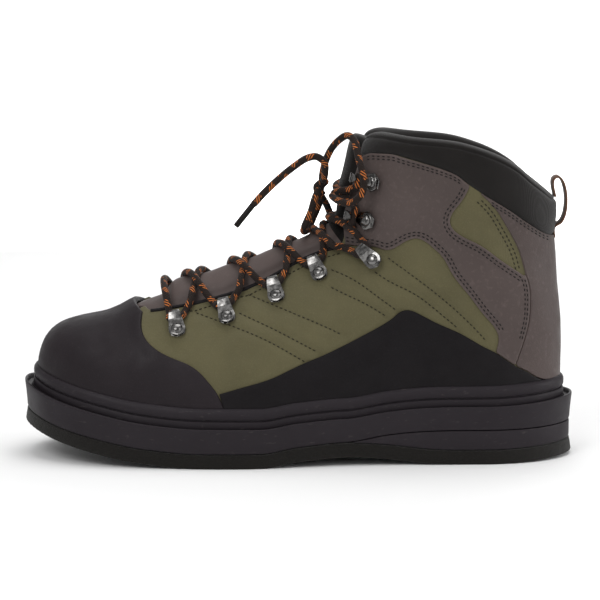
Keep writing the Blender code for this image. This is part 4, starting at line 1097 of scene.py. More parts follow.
def strips(bm, rows, open_by=0):
    """Splits the end caps of a ring round the boot into strips across it. open_by is 1 for a ring that
    starts and ends beside each other at its front."""
    for row in rows:
        half = len(row) // 2
        face = bmesh.ops.edgeloop_fill(bm, edges=edges_of(bm, row))["faces"][0]
        for i in range(1, half - open_by):
            made, _ = bmesh.utils.face_split(face, row[i], row[len(row) - open_by - i])
            face = made if row[half] in made.verts else face


def closed_band(name, rings, material, replaced):
    """A band round the boot whose section closes on itself."""
    bm = bmesh.new()
    carry(bm, [*rings, rings[0]], capped=False)
    bmesh.ops.remove_doubles(bm, verts=bm.verts, dist=1e-7)
    bmesh.ops.recalc_face_normals(bm, faces=bm.faces)
    return finished(name, bm, material, replaced=replaced)


# A panel's edge is rounded over in steps: width in metres and share of its thickness reached.
RIMS = ((0.00022, 0.70), (0.00028, 0.90), (0.00045, 1.0))
RIM_FOOT = 0.35
PANEL_GRID = 0.0022
EDGE_SPACING = 0.0014
LINE_SPACING = 0.0012


def panel(
    name, outline, place, low, high, material, replaced, spacing=PANEL_GRID, stretch=(1, 1), lining=None
):
    """A sheet sewn onto the boot. It is cut flat from its outline, its edge is rounded over, and it is
    laid on the last. stretch turns the flat pattern's metres into the place function's own units."""
    bm = bmesh.new()
    rise = bm.verts.layers.float.new("rise")
    face = bm.faces.new([bm.verts.new((x, y, 0)) for x, y in outline])
    for vert in bm.verts:
        vert[rise] = RIM_FOOT
    for width, height in RIMS:
        bmesh.ops.inset_region(bm, faces=[face], thickness=width, use_even_offset=True, use_boundary=True)
        for vert in face.verts:
            vert[rise] = height
    low_corner, high_corner = outline.min(axis=0), outline.max(axis=0)
    for axis in (0, 1):
        steps = int((high_corner[axis] - low_corner[axis]) / spacing)
        normal = Vector((1, 0, 0)) if axis == 0 else Vector((0, 1, 0))
        for k in range(1, steps + 1):
            at = normal * (low_corner[axis] + (k - 0.37) * spacing)
            bmesh.ops.bisect_plane(bm, geom=[*bm.verts, *bm.edges, *bm.faces], plane_co=at, plane_no=normal)
    flat = bm.faces[:]
    made = bmesh.ops.extrude_face_region(bm, geom=flat, use_keep_orig=True)["geom"]
    top = {g for g in made if isinstance(g, bmesh.types.BMVert)}
    bm.verts.index_update()
    layer = bm.loops.layers.uv.verify()
    for face in bm.faces:
        for loop in face.loops:
            loop[layer].uv = loop.vert.co.xy
    spots = np.array([v.co.xy for v in bm.verts])
    outs = np.array([low + (high - low) * v[rise] if v in top else low for v in bm.verts])
    # Distance from the outline, which the leather finish reads for its painted edge highlight.
    edge = bm.verts.layers.float.new("edge")
    for vert, distance in zip(bm.verts, nearest(spots, outline, closed=True)):
        vert[edge] = distance
    placed = place(spots[:, 0] / stretch[0], spots[:, 1] / stretch[1], outs)
    for vert, p in zip(bm.verts, placed):
        vert.co = p
    for face in flat:
        face.material_index = 1 if lining else 0
    bmesh.ops.recalc_face_normals(bm, faces=bm.faces)
    more = [lining] if lining else []
    return finished(name, bm, material, replaced=replaced, angle=50, more=more)


def dense(points, spacing=EDGE_SPACING, closed=True):
    """The line again with points at even spacing, corners kept."""
    points = np.asarray(points, float)
    ends = np.roll(points, -1, axis=0) if closed else points[1:]
    made = []
    for a, b in zip(points, ends):
        steps = max(int(round(np.linalg.norm(b - a) / spacing)), 1)
        made += [a + (b - a) * k / steps for k in range(steps)]
    if not closed:
        made.append(points[-1])
    return np.array(made)


def offset(line, distance):
    """An open line moved sideways, to its left."""
    along = np.gradient(line, axis=0)
    along /= np.maximum(np.linalg.norm(along, axis=1), 1e-12)[:, None]
    return line + np.column_stack((-along[:, 1], along[:, 0])) * distance


def seam(name, lines, place, out, material, sizes):
    """A row of stitches along each line. place turns the line's points into points off the last."""
    pitch, length, radius = sizes.stitch_pitch, sizes.stitch_length, sizes.thread_radius
    bm = bmesh.new()
    for line in lines:
        run = np.concatenate(([0.0], np.cumsum(np.linalg.norm(np.diff(line, axis=0), axis=1))))
        count = int(run[-1] / pitch)
        if count < 1:
            continue
        middles = (np.arange(count) + 0.5) * pitch
        ends = []
        for shift in (-length / 2, length / 2):
            flat = np.column_stack([np.interp(middles + shift, run, line[:, k]) for k in (0, 1)])
            ends.append(place(flat[:, 0], flat[:, 1], np.full(count, out)))
        for a, b in zip(*ends):
            a, b = Vector(a), Vector(b)
            along = b - a
            turn = along.to_track_quat("X", "Z").to_matrix().to_4x4()
            size = Matrix.Diagonal((along.length / 2, radius, radius, 1))
            matrix = Matrix.Translation((a + b) / 2) @ turn @ size
            bmesh.ops.create_uvsphere(bm, u_segments=6, v_segments=4, radius=1.0, matrix=matrix)
    return finished(name, bm, material, angle=0)


# The sole.

COLUMNS = 170

# Edges of felt and heel wedge: inset in metres and share of the thickness.
FELT_EDGE = (
    (-0.0010, 0.00),
    (-0.0002, 0.03),
    (0.0000, 0.10),
    (0.0000, 0.35),
    (0.0000, 0.65),
    (-0.0001, 0.93),
    (-0.0008, 1.00),
)
WEDGE_EDGE = (
    (-0.0012, 0.00),
    (-0.0003, 0.02),
    (0.0000, 0.10),
    (0.0000, 0.90),
    (-0.0003, 0.98),
    (-0.0012, 1.00),
)
FELT_FRAY = 0.00013
WEDGE_END = 0.03


def spaced(count=COLUMNS):
    """Ring places for a ring round the boot: toe, outer side, heel, inner side."""
    outer = -np.arange(count + 1) / count
    return np.concatenate((outer, -outer[-2:0:-1]))


def outward(points):
    """Direction away from a closed ring, in plan."""
    along = np.roll(points, -1, axis=0) - np.roll(points, 1, axis=0)
    out = np.column_stack((along[:, 1], -along[:, 0], np.zeros(len(points))))
    out /= np.linalg.norm(out, axis=1)[:, None]
    centre = points.mean(axis=0)
    sign = np.sign((out * (points - centre)).sum(axis=1))
    return out * np.where(sign == 0, 1, sign)[:, None]


def body_ring(v):
    s = spaced()
    return on_body(*ring_view(s, np.full(len(s), float(v))))


feather = body_ring(0.0)
feather_out = outward(feather)


def sole_ring(out, height):
    points = feather + feather_out * out
    points[:, 2] = height(points[:, 0])
    return points


def welt_ring(out, height):
    s = spaced()
    x = TOE_X + (HEEL_X - TOE_X) * (1 - np.cos(math.pi * np.abs(s))) / 2
    z = shelf(x) + height
    g = (x - TOE_X) / (HEEL_X - TOE_X)
    x = front.x_at(z) + (back.x_at(z) - front.x_at(z)) * g
    ring = on_body(np.where(s < 0, OUTER, INNER), x, z)
    points = ring + outward(ring) * out
    points[:, 2] = shelf(points[:, 0]) + height
    return points


def make_felt():
    """The felt outsole, flared a little towards the ground and frayed at its edge."""
    end = RIM_OVERHANG - SIDEWALL_TAPER
    bm = bmesh.new()
    rings = []
    for inset, share in FELT_EDGE:
        flare = FELT_FLARE * (1 - share)
        rings.append(sole_ring(end + flare + inset, lambda x: ground(x) + FELT_THICKNESS * share))
    for i, ring in enumerate(rings[1:-1]):
        fray = FELT_FRAY * np.sin(np.arange(len(ring)) * 2.3 + i * 1.9)
        ring[:, :2] += feather_out[:, :2] * fray[:, None]
    rows = carry(bm, rings, capped=False)
    strips(bm, (rows[0], rows[-1]))
    bmesh.ops.recalc_face_normals(bm, faces=bm.faces)
    finished("felt_outsole", bm, finishes["felt"], replaced=["felt_sole"])


def make_heel_lift():
    """The wedge between felt and midsole, with its front end drawn to nothing."""
    end = RIM_OVERHANG - SIDEWALL_TAPER
    keep = np.flatnonzero(lift(sole_share(feather[:, 0])) > WEDGE_END * LIFT_THICKNESS)
    rings = []
    for inset, share in WEDGE_EDGE:
        between = lambda x: (felt_top(x) + GAP) * (1 - share) + (midsole_bottom(x) - GAP) * share
        ring = sole_ring(end + inset, between)
        rings.append(ring[keep])
    bm = bmesh.new()
    rows = carry(bm, rings, capped=False)
    strips(bm, (rows[0], rows[-1]), open_by=1)
    bmesh.ops.recalc_face_normals(bm, faces=bm.faces)
    finished("heel_wedge", bm, finishes["sole"], replaced=["heel_lift"])


def make_midsole():
    """Sidewall, rolled rim, gutter and shelf."""
    inner_rim = RIM_OVERHANG - RIM_WIDTH
    gutter_end = inner_rim - GUTTER_WIDTH
    foot = RIM_OVERHANG - SIDEWALL_TAPER
    depth = lambda share, drop=0.0: (
        lambda x: midsole_bottom(x) + (rim_top(x) - midsole_bottom(x)) * share - drop
    )
    rings = [
        sole_ring(foot - 0.0008, midsole_bottom),
        sole_ring(foot - 0.0001, depth(0.02)),
        sole_ring(foot + 0.0002, depth(0.08)),
        sole_ring(foot + 0.0005, depth(0.35)),
        sole_ring(foot + 0.0009, depth(0.62)),
        sole_ring(RIM_OVERHANG - 0.0002, depth(0.84)),
        sole_ring(RIM_OVERHANG, depth(0.93)),
        sole_ring(RIM_OVERHANG - 0.0001, depth(1.0, 0.00035)),
        sole_ring(RIM_OVERHANG - 0.0004, depth(1.0, 0.00006)),
        sole_ring(RIM_OVERHANG - 0.0008, rim_top),
        sole_ring(inner_rim + 0.0002, depth(1.0, 0.00006)),
        sole_ring(inner_rim - 0.0001, depth(1.0, 0.0004)),
        sole_ring(inner_rim - 0.0004, depth(1.0, GUTTER_DEPTH * 0.9)),
        sole_ring(inner_rim - 0.0009, depth(1.0, GUTTER_DEPTH)),
        sole_ring(gutter_end, depth(1.0, GUTTER_DEPTH)),
        sole_ring(gutter_end - RIM_WIDTH / 4, shelf),
    ]
    bm = bmesh.new()
    rows = carry(bm, rings, capped=False)
    strips(bm, (rows[0], rows[-1]))
    bmesh.ops.recalc_face_normals(bm, faces=bm.faces)
    finished("midsole_shell", bm, finishes["sole"], replaced=["midsole"])


def make_welt():
    """Foxing band: a plain strip below, a groove and a rounded bead above."""
    band, top, face, inside = WELT_BAND_HEIGHT, WELT_HEIGHT, WELT_PROUD, CURVED_GAP
    section = (
        (face + 0.0003, GAP),
        (face + 0.0004, 0.0010),
        (face + 0.0002, band - 0.0010),
        (face - 0.0001, band - 0.0003),
        (face - 0.0011, band),
        (face - 0.0011, band + 0.0004),
        (face - 0.0001, band + 0.0009),
        (face + 0.0002, band + 0.0018),
        (face + 0.0003, band + 0.0036),
        (face + 0.0001, band + 0.0052),
        (face - 0.0005, top - 0.0012),
        (face - 0.0013, top - 0.0004),
        (face - 0.0021, top - 0.0001),
        (inside, top - 0.0004),
        (inside, GAP),
    )
    rings = [welt_ring(out, height) for out, height in section]
    closed_band("foxing_band", rings, finishes["sole"], ["welt"])


# The upper.


QUARTER_FRONT = ((0.2000, 0.060), (0.2000, 0.350), (0.2180, 0.390))
QUARTER_BACK = 0.9300
CAP_TOP = 0.405
RAND_FRONT = 0.3705
RAND_TIP = 0.9480
COUNTER_BACK = 0.9622
TRIM = 0.0004


def make_upper():
    """The olive quarters: each side's wall with its lining face, under the panels sewn over it."""
    throat = side_line(THROAT[1:13], 90)
    xs = np.linspace(throat[-1][0] + 0.0006, at_x(QUARTER_BACK), 70)
    top = np.column_stack((xs, edge_height(xs)))
    xs = np.linspace(at_x(QUARTER_BACK), at_x(QUARTER_FRONT[0][0]), 80)
    floor = np.column_stack((xs, shelf(xs) + 2 * GAP))
    fore = np.array([(at_x(x), at_z(h)) for x, h in QUARTER_FRONT])[1:]
    outline = dense(np.vstack((throat, top, floor, fore)))
    for side, label in ((OUTER, "outer"), (INNER, "inner")):
        place = lambda x, z, out, side=side: on_side(side, x, z, out, True)
        panel(
            f"quarter_{label}", outline, place, -WALL, 0.0004, finishes["olive"], ["upper"],
            spacing=EDGE_SPACING, lining=finishes["lining"],
        )


def side_line(points, samples=60, passes=12):
    """A smooth line through shares of the side view, with its kinks eased."""
    return eased(dense(to_line(points, samples), LINE_SPACING, closed=False), passes)


OVERLAY_TUCK = 0.0008


def overlay_floor(x):
    """Lower edge of the panels, tucked behind the foxing band."""
    return shelf(x) + WELT_HEIGHT - OVERLAY_TUCK


OVERLAY_LOW, OVERLAY_HIGH = 0.0003, 0.0016
RING_ROUND, RING_UP = 0.36, 0.24


def ring_line(points):
    """A side-view line on the flat pattern of a panel that wraps the toe: (g, v) to pattern metres."""
    g, v = ring_place(points)
    s = np.arccos(np.clip(1 - 2 * g, -1, 1)) / math.pi
    return s, v


def make_toe_cap():
    """The rubber toe cap, wrapped round the toe from one border to the other."""
    border = side_line(TOE_BORDER)
    xs = np.linspace(border[-1][0], TOE_X + 0.0005, 90)
    low = np.column_stack((xs, overlay_floor(xs)))
    border[:, 0] -= SEAM_GAP / 2
    s, v = ring_line(border)
    s_low, v_low = ring_line(low)
    # The throat's foot rises to the ridge, where the cap's top edge runs across the instep.
    top_v = float(front.share_at(at_z(CAP_TOP)))
    s_top = np.linspace(0, s[0], 12)[:-1]
    v_top = top_v + (v[0] - top_v) * (s_top / s[0]) ** 2
    half = np.column_stack((np.concatenate((s_top, s, s_low)), np.concatenate((v_top, v, v_low))))
    half = half[half[:, 0] > 1e-3]
    inner = half * (RING_ROUND, RING_UP)
    outer = inner[::-1] * (-1, 1)
    outline = dense(np.vstack(([(0, top_v * RING_UP)], inner, [(0, v_low[-1] * RING_UP)], outer)))
    panel(
        "toe_cap_rubber", outline, on_ring, -WALL * 0.8, OVERLAY_HIGH, finishes["toe"],
        ["toe_cap"], stretch=(RING_ROUND, RING_UP), lining=finishes["lining"],
    )


def floor_line(start, end, steps=60):
    xs = np.linspace(start, end, steps)
    return np.column_stack((xs, overlay_floor(xs)))


def rand_line():
    """The rubber's top edge, run out on the foxing band at the heel."""
    line = side_line(RAND_TOP[:-1], 110)
    tip_x = at_x(RAND_TIP)
    xs = np.linspace(line[-1][0], tip_x, 10)[1:]
    low = float(overlay_floor(tip_x)) + 0.0002
    share = (xs - line[-1][0]) / (tip_x - line[-1][0])
    zs = line[-1][1] + (low - line[-1][1]) * (1 - (1 - share) ** 1.6)
    return np.vstack((line, np.column_stack((xs, zs))))


def make_side_overlays():
    """Side rubber and ankle leather, on both sides."""
    rand_top = rand_line()
    rand = np.vstack((rand_top, floor_line(rand_top[-1][0] - TRIM, at_x(RAND_FRONT))))
    ankle_front = side_line(ANKLE_FRONT, 90)
    counter = side_line(COUNTER_FRONT, 30)
    window = side_line(WINDOW_FRONT, 50)
    lower = rand_top[(rand_top[:, 0] > ankle_front[-1][0]) & (rand_top[:, 0] < counter[0][0] - 0.0006)]
    throat = side_line(THROAT[9:13], 30)[::-1]
    edge_xs = np.linspace(window[-1][0], throat[0][0] + TRIM, 50)
    top = np.column_stack((edge_xs, edge_height(edge_xs) - TRIM))
    window = window[window[:, 1] < edge_height(window[:, 0]) - 2 * TRIM]
    throat = throat[throat[:, 1] < edge_height(throat[:, 0]) - 2 * TRIM] + (1.5 * TRIM, 0)
    foot = lower + (0, SEAM_GAP)
    rear = counter[:-1] - (SEAM_GAP / 2, 0)
    ankle = np.vstack((ankle_front, foot, rear, window, top, throat))
    for side, label in ((OUTER, "outer"), (INNER, "inner")):
        place = lambda x, z, out, side=side: on_side(side, x, z, out)
        panel(
            f"side_rubber_{label}", dense(rand), place, OVERLAY_LOW, OVERLAY_HIGH,
            finishes["rand"], [f"side_rand_{label}"],
        )
        panel(
            f"ankle_leather_{label}", dense(ankle), place, OVERLAY_LOW, OVERLAY_HIGH,
            finishes["grey"], [f"ankle_overlay_{label}"],
        )


def make_piping(sizes):
    """A bound edge along the throat of the olive quarters."""
    line = side_line(THROAT[2:9], 60) + (0, -0.0001)
    for side, label in ((OUTER, "outer"), (INNER, "inner")):
        path = on_side(side, line[:, 0], line[:, 1], np.full(len(line), 0.0003), True)
        bm = bmesh.new()
        round_cord(bm, [Vector(p) for p in path], sizes.binding_radius, sides=10)
        bmesh.ops.recalc_face_normals(bm, faces=bm.faces)
        finished(f"throat_binding_{label}", bm, finishes["rand"], angle=0)


def make_counter():
    """The heel's leather, wrapped round the heel in one piece."""
    front_line = side_line(COUNTER_FRONT, 40) + (SEAM_GAP / 2, 0)
    window = side_line(WINDOW_BACK, 50)[1:] + (SEAM_GAP, 0)
    window = window[window[:, 1] < edge_height(window[:, 0]) - 2 * TRIM]
    edge_xs = np.linspace(window[-1][0], at_x(COUNTER_BACK), 40)
    top = np.column_stack((edge_xs, edge_height(edge_xs) - TRIM))
    rand_top = rand_line()
    rand_top = rand_top[rand_top[:, 0] > front_line[0][0] + TRIM][::-1] + (0, SEAM_GAP)
    low = floor_line(HEEL_X - 0.0003, rand_top[0][0] + SEAM_GAP, 30)
    half = []
    for line in (low, rand_top, front_line, window, top):
        g, v = ring_place(line)
        half.append(np.column_stack((1 - np.arccos(np.clip(1 - 2 * g, -1, 1)) / math.pi, v)))
    half = np.vstack(half)
    half = half[half[:, 0] > 2e-3]
    inner = half * (RING_ROUND, RING_UP)
    outer = inner[::-1] * (-1, 1)
    outline = dense(np.vstack((inner, outer)))
    place = lambda a, b, out: on_ring(-1 - a, b, out)
    panel(
        "heel_leather", outline, place, -WALL * 0.8, OVERLAY_HIGH, finishes["grey"],
        ["heel_counter"], stretch=(RING_ROUND, RING_UP), lining=finishes["lining"],
    )


# Stitched rows: how far they lie inside the edge that they follow, in metres.
ANKLE_ROWS = (0.0018, 0.0036)
COUNTER_ROWS = (0.0017, 0.0032)
WINDOW_ROWS = (0.0022, 0.0044)
COLLAR_ROWS = (0.0020, 0.0036)
COLLAR_SPANS = ((0.6260, 0.7960), (0.8420, 0.9560))
THROAT_ROW = -0.0036


def make_seams(sizes):
    """Double rows of stitches inside the panels' edges, and the quilting's single rows."""
    ankle = side_line(ANKLE_FRONT, 90)
    ankle = ankle[ankle[:, 1] > at_z(0.30)]
    counter = side_line(COUNTER_FRONT[1:], 30)
    window = side_line(WINDOW_FRONT, 50)
    window_back = side_line(WINDOW_BACK, 50)
    for side, label in ((OUTER, "outer"), (INNER, "inner")):
        place = lambda x, z, out, side=side: on_side(side, x, z, out)
        low_place = lambda x, z, out, side=side: on_side(side, x, z, out, True)
        rows = [offset(ankle, d) for d in ANKLE_ROWS]
        rows += [offset(counter, d) for d in COUNTER_ROWS]
        rows += [offset(window, d) for d in ANKLE_ROWS]
        for drop in COLLAR_ROWS:
            for start, end in COLLAR_SPANS:
                xs = np.linspace(at_x(start), at_x(end), 50)
                rows.append(np.column_stack((xs, edge_height(xs) - drop)))
        seam(f"leather_seams_{label}", rows, place, OVERLAY_HIGH, finishes["thread"], sizes)
        lines = [side_line(points, 60, passes=90) for points in QUILTING]
        lines.append(offset(side_line(THROAT[3:9], 60, passes=20), THROAT_ROW))
        lines += [offset(window_back[3:-3], d) for d in WINDOW_ROWS]
        seam(f"quilting_{label}", lines, low_place, 0.0005, finishes["olive_thread"], sizes)


# Collar and tongue.


SLOPE_STEP = 0.0008


def slope(side, x, z):
    """How fast the half width grows along the boot."""
    return (half_width(side, x + SLOPE_STEP, z) - half_width(side, x - SLOPE_STEP, z)) / (2 * SLOPE_STEP)


def collar_points(side, shares, height_of, lower, out):
    """Points of the collar at a corner of its section, for shares from its front end to the heel."""
    x = np.full(len(shares), at_x(0.7))
    for _ in range(12):
        z = height_of(x) - lower
        reach = front.x_at(z)
        for _ in range(60):
            short = half_width(side, reach, z) < COLLAR_FRONT_WIDTH / 2
            if not short.any():
                break
            reach = reach + 0.0005 * short
        x = reach + (back.x_at(z) - reach) * shares
    normal = np.column_stack((-slope(side, x, z), np.full(len(x), float(side)), np.zeros(len(x))))
    normal /= np.linalg.norm(normal, axis=1)[:, None]
    normal[shares > 0.999] = (1, 0, 0)
    points = on_body(side, x, z) + normal * out
    points[:, 2] = height_of(points[:, 0]) - lower
    return points


def subdivided(piece, levels):
    step = piece.modifiers.new("smooth", "SUBSURF")
    step.levels = step.render_levels = levels
    return piece


def make_collar():
    """Padded collar with a rolled rim, a piping line under it and a soft lining inside."""
    behind, on_edge = -WALL - CURVED_GAP, OVERLAY_THICKNESS
    section = (
        (edge_height, COLLAR_TUCK, behind - 0.0005),
        (edge_height, 0.4 * COLLAR_TUCK, behind - 0.0003),
        (edge_height, 0.0022, behind + 0.0006),
        (edge_height, 0.0002, on_edge - 0.0004),
        (edge_height, -0.0030, on_edge + COLLAR_BULGE),
        (rim_height, 0.50 * COLLAR_RISE, on_edge + 1.1 * COLLAR_BULGE),
        (rim_height, 0.34 * COLLAR_RISE, on_edge + 0.7 * COLLAR_BULGE),
        (rim_height, 0.28 * COLLAR_RISE, on_edge - 0.3 * COLLAR_BULGE),
        (rim_height, 0.22 * COLLAR_RISE, on_edge + 0.4 * COLLAR_BULGE),
        (rim_height, 0.10 * COLLAR_RISE, on_edge + 0.1 * COLLAR_BULGE),
        (rim_height, -0.01 * COLLAR_RISE, -0.18 * COLLAR_PAD),
        (rim_height, -0.03 * COLLAR_RISE, -0.50 * COLLAR_PAD),
        (rim_height, 0.04 * COLLAR_RISE, -0.82 * COLLAR_PAD),
        (rim_height, 0.30 * COLLAR_RISE, -1.08 * COLLAR_PAD),
        (edge_height, 0.0, -1.18 * COLLAR_PAD),
        (edge_height, 0.5 * COLLAR_TUCK, -1.10 * COLLAR_PAD),
        (edge_height, COLLAR_TUCK, -0.78 * COLLAR_PAD),
    )
    shares = np.sin(np.pi / 2 * np.arange(31) / 30)
    halves = []
    for side in (OUTER, INNER):
        halves.append(np.stack([collar_points(side, shares, *corner) for corner in section], axis=1))
    rings = list(halves[0]) + list(halves[1][-2::-1])
    # The front ends are rounded in, so that the collar closes softly beside the tongue.
    for end in (0, -1):
        middle = rings[end].mean(axis=0)
        rings[end] = middle + (rings[end] - middle) * 0.80
    bm = bmesh.new()
    carry(bm, rings)
    bmesh.ops.recalc_face_normals(bm, faces=bm.faces)
    piece = finished(
        "collar_pad", bm, finishes["collar"], replaced=["collar"], angle=0
    )
    subdivided(piece, 2)


def inside(point, outline):
    x, z = point
    found = False
    for (xa, za), (xb, zb) in zip(outline, outline[1:] + outline[:1]):
        if (za > z) != (zb > z) and x < xa + (z - za) * (xb - xa) / (zb - za):
            found = not found
    return found


THROAT_OUTLINE = [(at_x(x), at_z(h)) for x, h in (*THROAT, (0.62, 1.3), (0.10, 1.3))]
STATION_STEP = 0.004
ACROSS_STEP = 0.0015


def ridge_frame(v):
    """The ridge's point at a station, and the way into the boot there, in the side view."""
    x, z = front.at(v)
    ax, az = front.at(np.maximum(v - STATION_STEP, 0.0))
    bx, bz = front.at(v + STATION_STEP)
    run = np.hypot(bx - ax, bz - az)
    return x, z, (bz - az) / run, (ax - bx) / run


def over_instep(v, y, out):
    """Points over the instep at stations v of the ridge, y across from the centre line."""

    def place(station, across):
        x, z, dx, dz = ridge_frame(station)
        side = np.where(across >= 0, INNER, OUTER)
        low, high = np.zeros(len(across)), np.full(len(across), 0.08)
        for _ in range(26):
            middle = (low + high) / 2
            short = half_width(side, x + dx * middle, z + dz * middle) < np.abs(across)
            low, high = np.where(short, middle, low), np.where(short, high, middle)
        x, z = x + dx * low, z + dz * low
        return np.column_stack((x, centre_y(x) + across, z))

    v, y = np.broadcast_arrays(np.asarray(v, float), np.asarray(y, float))
    point = place(v, y)
    along = place(v + STATION_STEP, y) - place(v - STATION_STEP, y)
    across = place(v, y + ACROSS_STEP) - place(v, y - ACROSS_STEP)
    normal = np.cross(along, across)
    normal /= np.linalg.norm(normal, axis=1)[:, None]
    return point + normal * np.asarray(out)[..., None]


def throat_half(v):
    """Half width of the throat's opening at a station of the ridge."""
    x, z, dx, dz = ridge_frame(v)
    depth = 0.0
    while inside((x + dx * depth, z + dz * depth), THROAT_OUTLINE) and depth < 0.05:
        depth += 0.0005
    return float(half_width(OUTER, x + dx * depth, z + dz * depth)) if depth else 0.0


TONGUE_HEIGHTS = (
    0.385, 0.41, 0.433, 0.447, 0.48, 0.52, 0.56, 0.61, 0.645, 0.676, 0.71, 0.77, 0.83, 0.88, 0.94, 0.985,
)
TONGUE_COLUMNS = np.array((0, 0.24, 0.48, 0.72, 0.90, 1.0))
TONGUE_WAVE = 0.0004
TONGUE_START = 0.440
TONGUE_LEATHER_TOP = 0.655


def make_tongue():
    """Padded tongue: leather-faced and crowned in the throat, with thin wings under its edges."""
    drop = -WALL - 3 * CURVED_GAP
    key = front.share_at(at_z(np.array(TONGUE_HEIGHTS)))
    halves, totals = [], []
    for height, v in zip(TONGUE_HEIGHTS, key):
        half = max(throat_half(float(v)) - THROAT_CLEARANCE, 0.0)
        total = min(half + THROAT_CLEARANCE + TONGUE_TUCK, TONGUE_WIDTH / 2)
        if height > EDGE["height"][1] - COLLAR_TUCK / UPPER_HEIGHT:
            total = TONGUE_TOP_WIDTH / 2
            half = min(half, COLLAR_FRONT_WIDTH / 2 - 0.0010)
        halves.append(min(half, total - 0.0012) if half else 0.0)
        totals.append(total)
    stations = np.linspace(key[0], key[-1], 46)
    half_of, total_of = smooth_curve(key, halves), smooth_curve(key, totals)
    start = float(front.share_at(at_z(TONGUE_START)))
    rings = []
    for k, v in enumerate(stations):
        half, total = float(half_of(v)), float(total_of(v))
        crown = float(blend(v, start, start + 0.03))
        half = max(half, 0.6 * total * (1 - crown))
        ys = np.append(TONGUE_COLUMNS * half, (0.5 * (half + total), total))
        rise = TONGUE_RISE * crown
        ridge_wave = TONGUE_WAVE * math.sin(k * 0.9) * crown
        outs = np.array([rise, 0.97 * rise, 0.85 * rise, 0.55 * rise, 0.0, drop * 0.7, drop, drop])
        outs = np.where(outs > 0, outs + ridge_wave, outs)
        outs = outs * crown + drop * (1 - crown)
        across = np.concatenate((-ys[:0:-1], ys))
        off = np.concatenate((outs[:0:-1], outs))
        top = over_instep(v, across, off)
        bottom = over_instep(v, 0.97 * across, off - TONGUE_THICKNESS * 0.9)
        rings.append(np.vstack((top, bottom[::-1])))
    for end in (0, -1):
        middle = rings[end].mean(axis=0)
        rings[end] = middle + (rings[end] - middle) * 0.94
    bm = bmesh.new()
    rows = carry(bm, rings, capped=False)
    split = int(np.searchsorted(stations, float(front.share_at(at_z(TONGUE_LEATHER_TOP)))))
    upper_part = {v for row in rows[split:] for v in row}
    rows_fill(bm)
    bmesh.ops.recalc_face_normals(bm, faces=bm.faces)
    for face in bm.faces:
        face.material_index = int(all(v in upper_part for v in face.verts))
    piece = finished(
        "tongue_pad", bm, finishes["grey"], replaced=["tongue"], angle=0,
        more=[finishes["collar"]],
    )
    subdivided(piece, 2)


def rows_fill(bm):
    """Closes the two open ends of a carried section."""
    edges = [e for e in bm.edges if e.is_boundary]
    bmesh.ops.holes_fill(bm, edges=edges, sides=0)


# Trims.


def strap_rings(path, widths, gauge, rounding=0.3):
    """Rings of a flat band along (x, z) points, with soft edges."""
    rings = []
    for i, (x, z) in enumerate(path):
        xa, za = path[max(i - 1, 0)]
        xb, zb = path[min(i + 1, len(path) - 1)]
        run = math.hypot(xb - xa, zb - za)
        nx, nz = (zb - za) / run * gauge / 2, (xa - xb) / run * gauge / 2
        w = widths[i] / 2
        near_edge = w - rounding * gauge
        section = [(-1, -near_edge), (-0.5, -w), (0.5, -w), (1, -near_edge)]
        section += [(-t, -y) for t, y in section]
        rings.append(np.array([(x + nx * t, y, z + nz * t) for t, y in section]))
    return rings


TAPE_RUN = 0.055


def make_pull_loop():
    """The webbing loop at the heel, sewn on under the collar."""
    top = float(rim_height(at_x(RIM["x"][-1])))
    rear = float(back.x_at(top))
    foot = float(edge_height(at_x(EDGE["x"][-1])))
    rise, reach = PULL_RISE, PULL_REACH
    base = float(back.x_at(foot)) + OVERLAY_THICKNESS
    points = [
        (rear + OVERLAY_THICKNESS + PULL_GAUGE + GAP, 0, top - 0.2 * rise),
        (rear + 0.14 * reach, 0, top + 0.5 * rise),
        (rear + 0.20 * reach, 0, top + 0.88 * rise),
        (rear + 0.50 * reach, 0, top + rise),
        (rear + 0.82 * reach, 0, top + 0.62 * rise),
        (rear + reach, 0, top - 0.15 * rise),
        (rear + 0.97 * reach, 0, top - 0.42 * (top - foot)),
        (rear + 0.72 * reach, 0, top - 0.68 * (top - foot)),
        (base, 0, foot + 0.0045),
        (base, 0, foot - 0.0015),
    ]
    path = [(p.x, p.z) for p in smooth_path(points, 60)]
    rings = strap_rings(path, [PULL_WIDTH] * len(path), PULL_GAUGE)
    for ring in rings:
        ring[:, 1] += centre_y(HEEL_X)
    bm = bmesh.new()
    run = np.linspace(0, TAPE_RUN, len(rings))
    carry(bm, rings, uv=(np.array([0, 0, 0, 0, 1, 1, 1, 1, 0]) * PULL_WIDTH, run))
    bmesh.ops.recalc_face_normals(bm, faces=bm.faces)
    finished("heel_tape", bm, finishes["tape"], replaced=["pull_loop"], angle=50)


STEEL_EDGE = 0.00028
PLATE_EDGE = 0.00035
HOOK_WIDTHS = np.array((1.0, 0.8, 0.66, 0.60, 0.60, 0.66, 0.80, 0.95, 0.78, 0.30)) * HOOK_NECK
HOOK_STEPS = 36


def soften(bm, edges, width):
    """Rounds edges over."""
    bmesh.ops.bevel(
        bm, geom=edges, offset=width, segments=2, profile=0.5, affect="EDGES", material=-1, clamp_overlap=True
    )


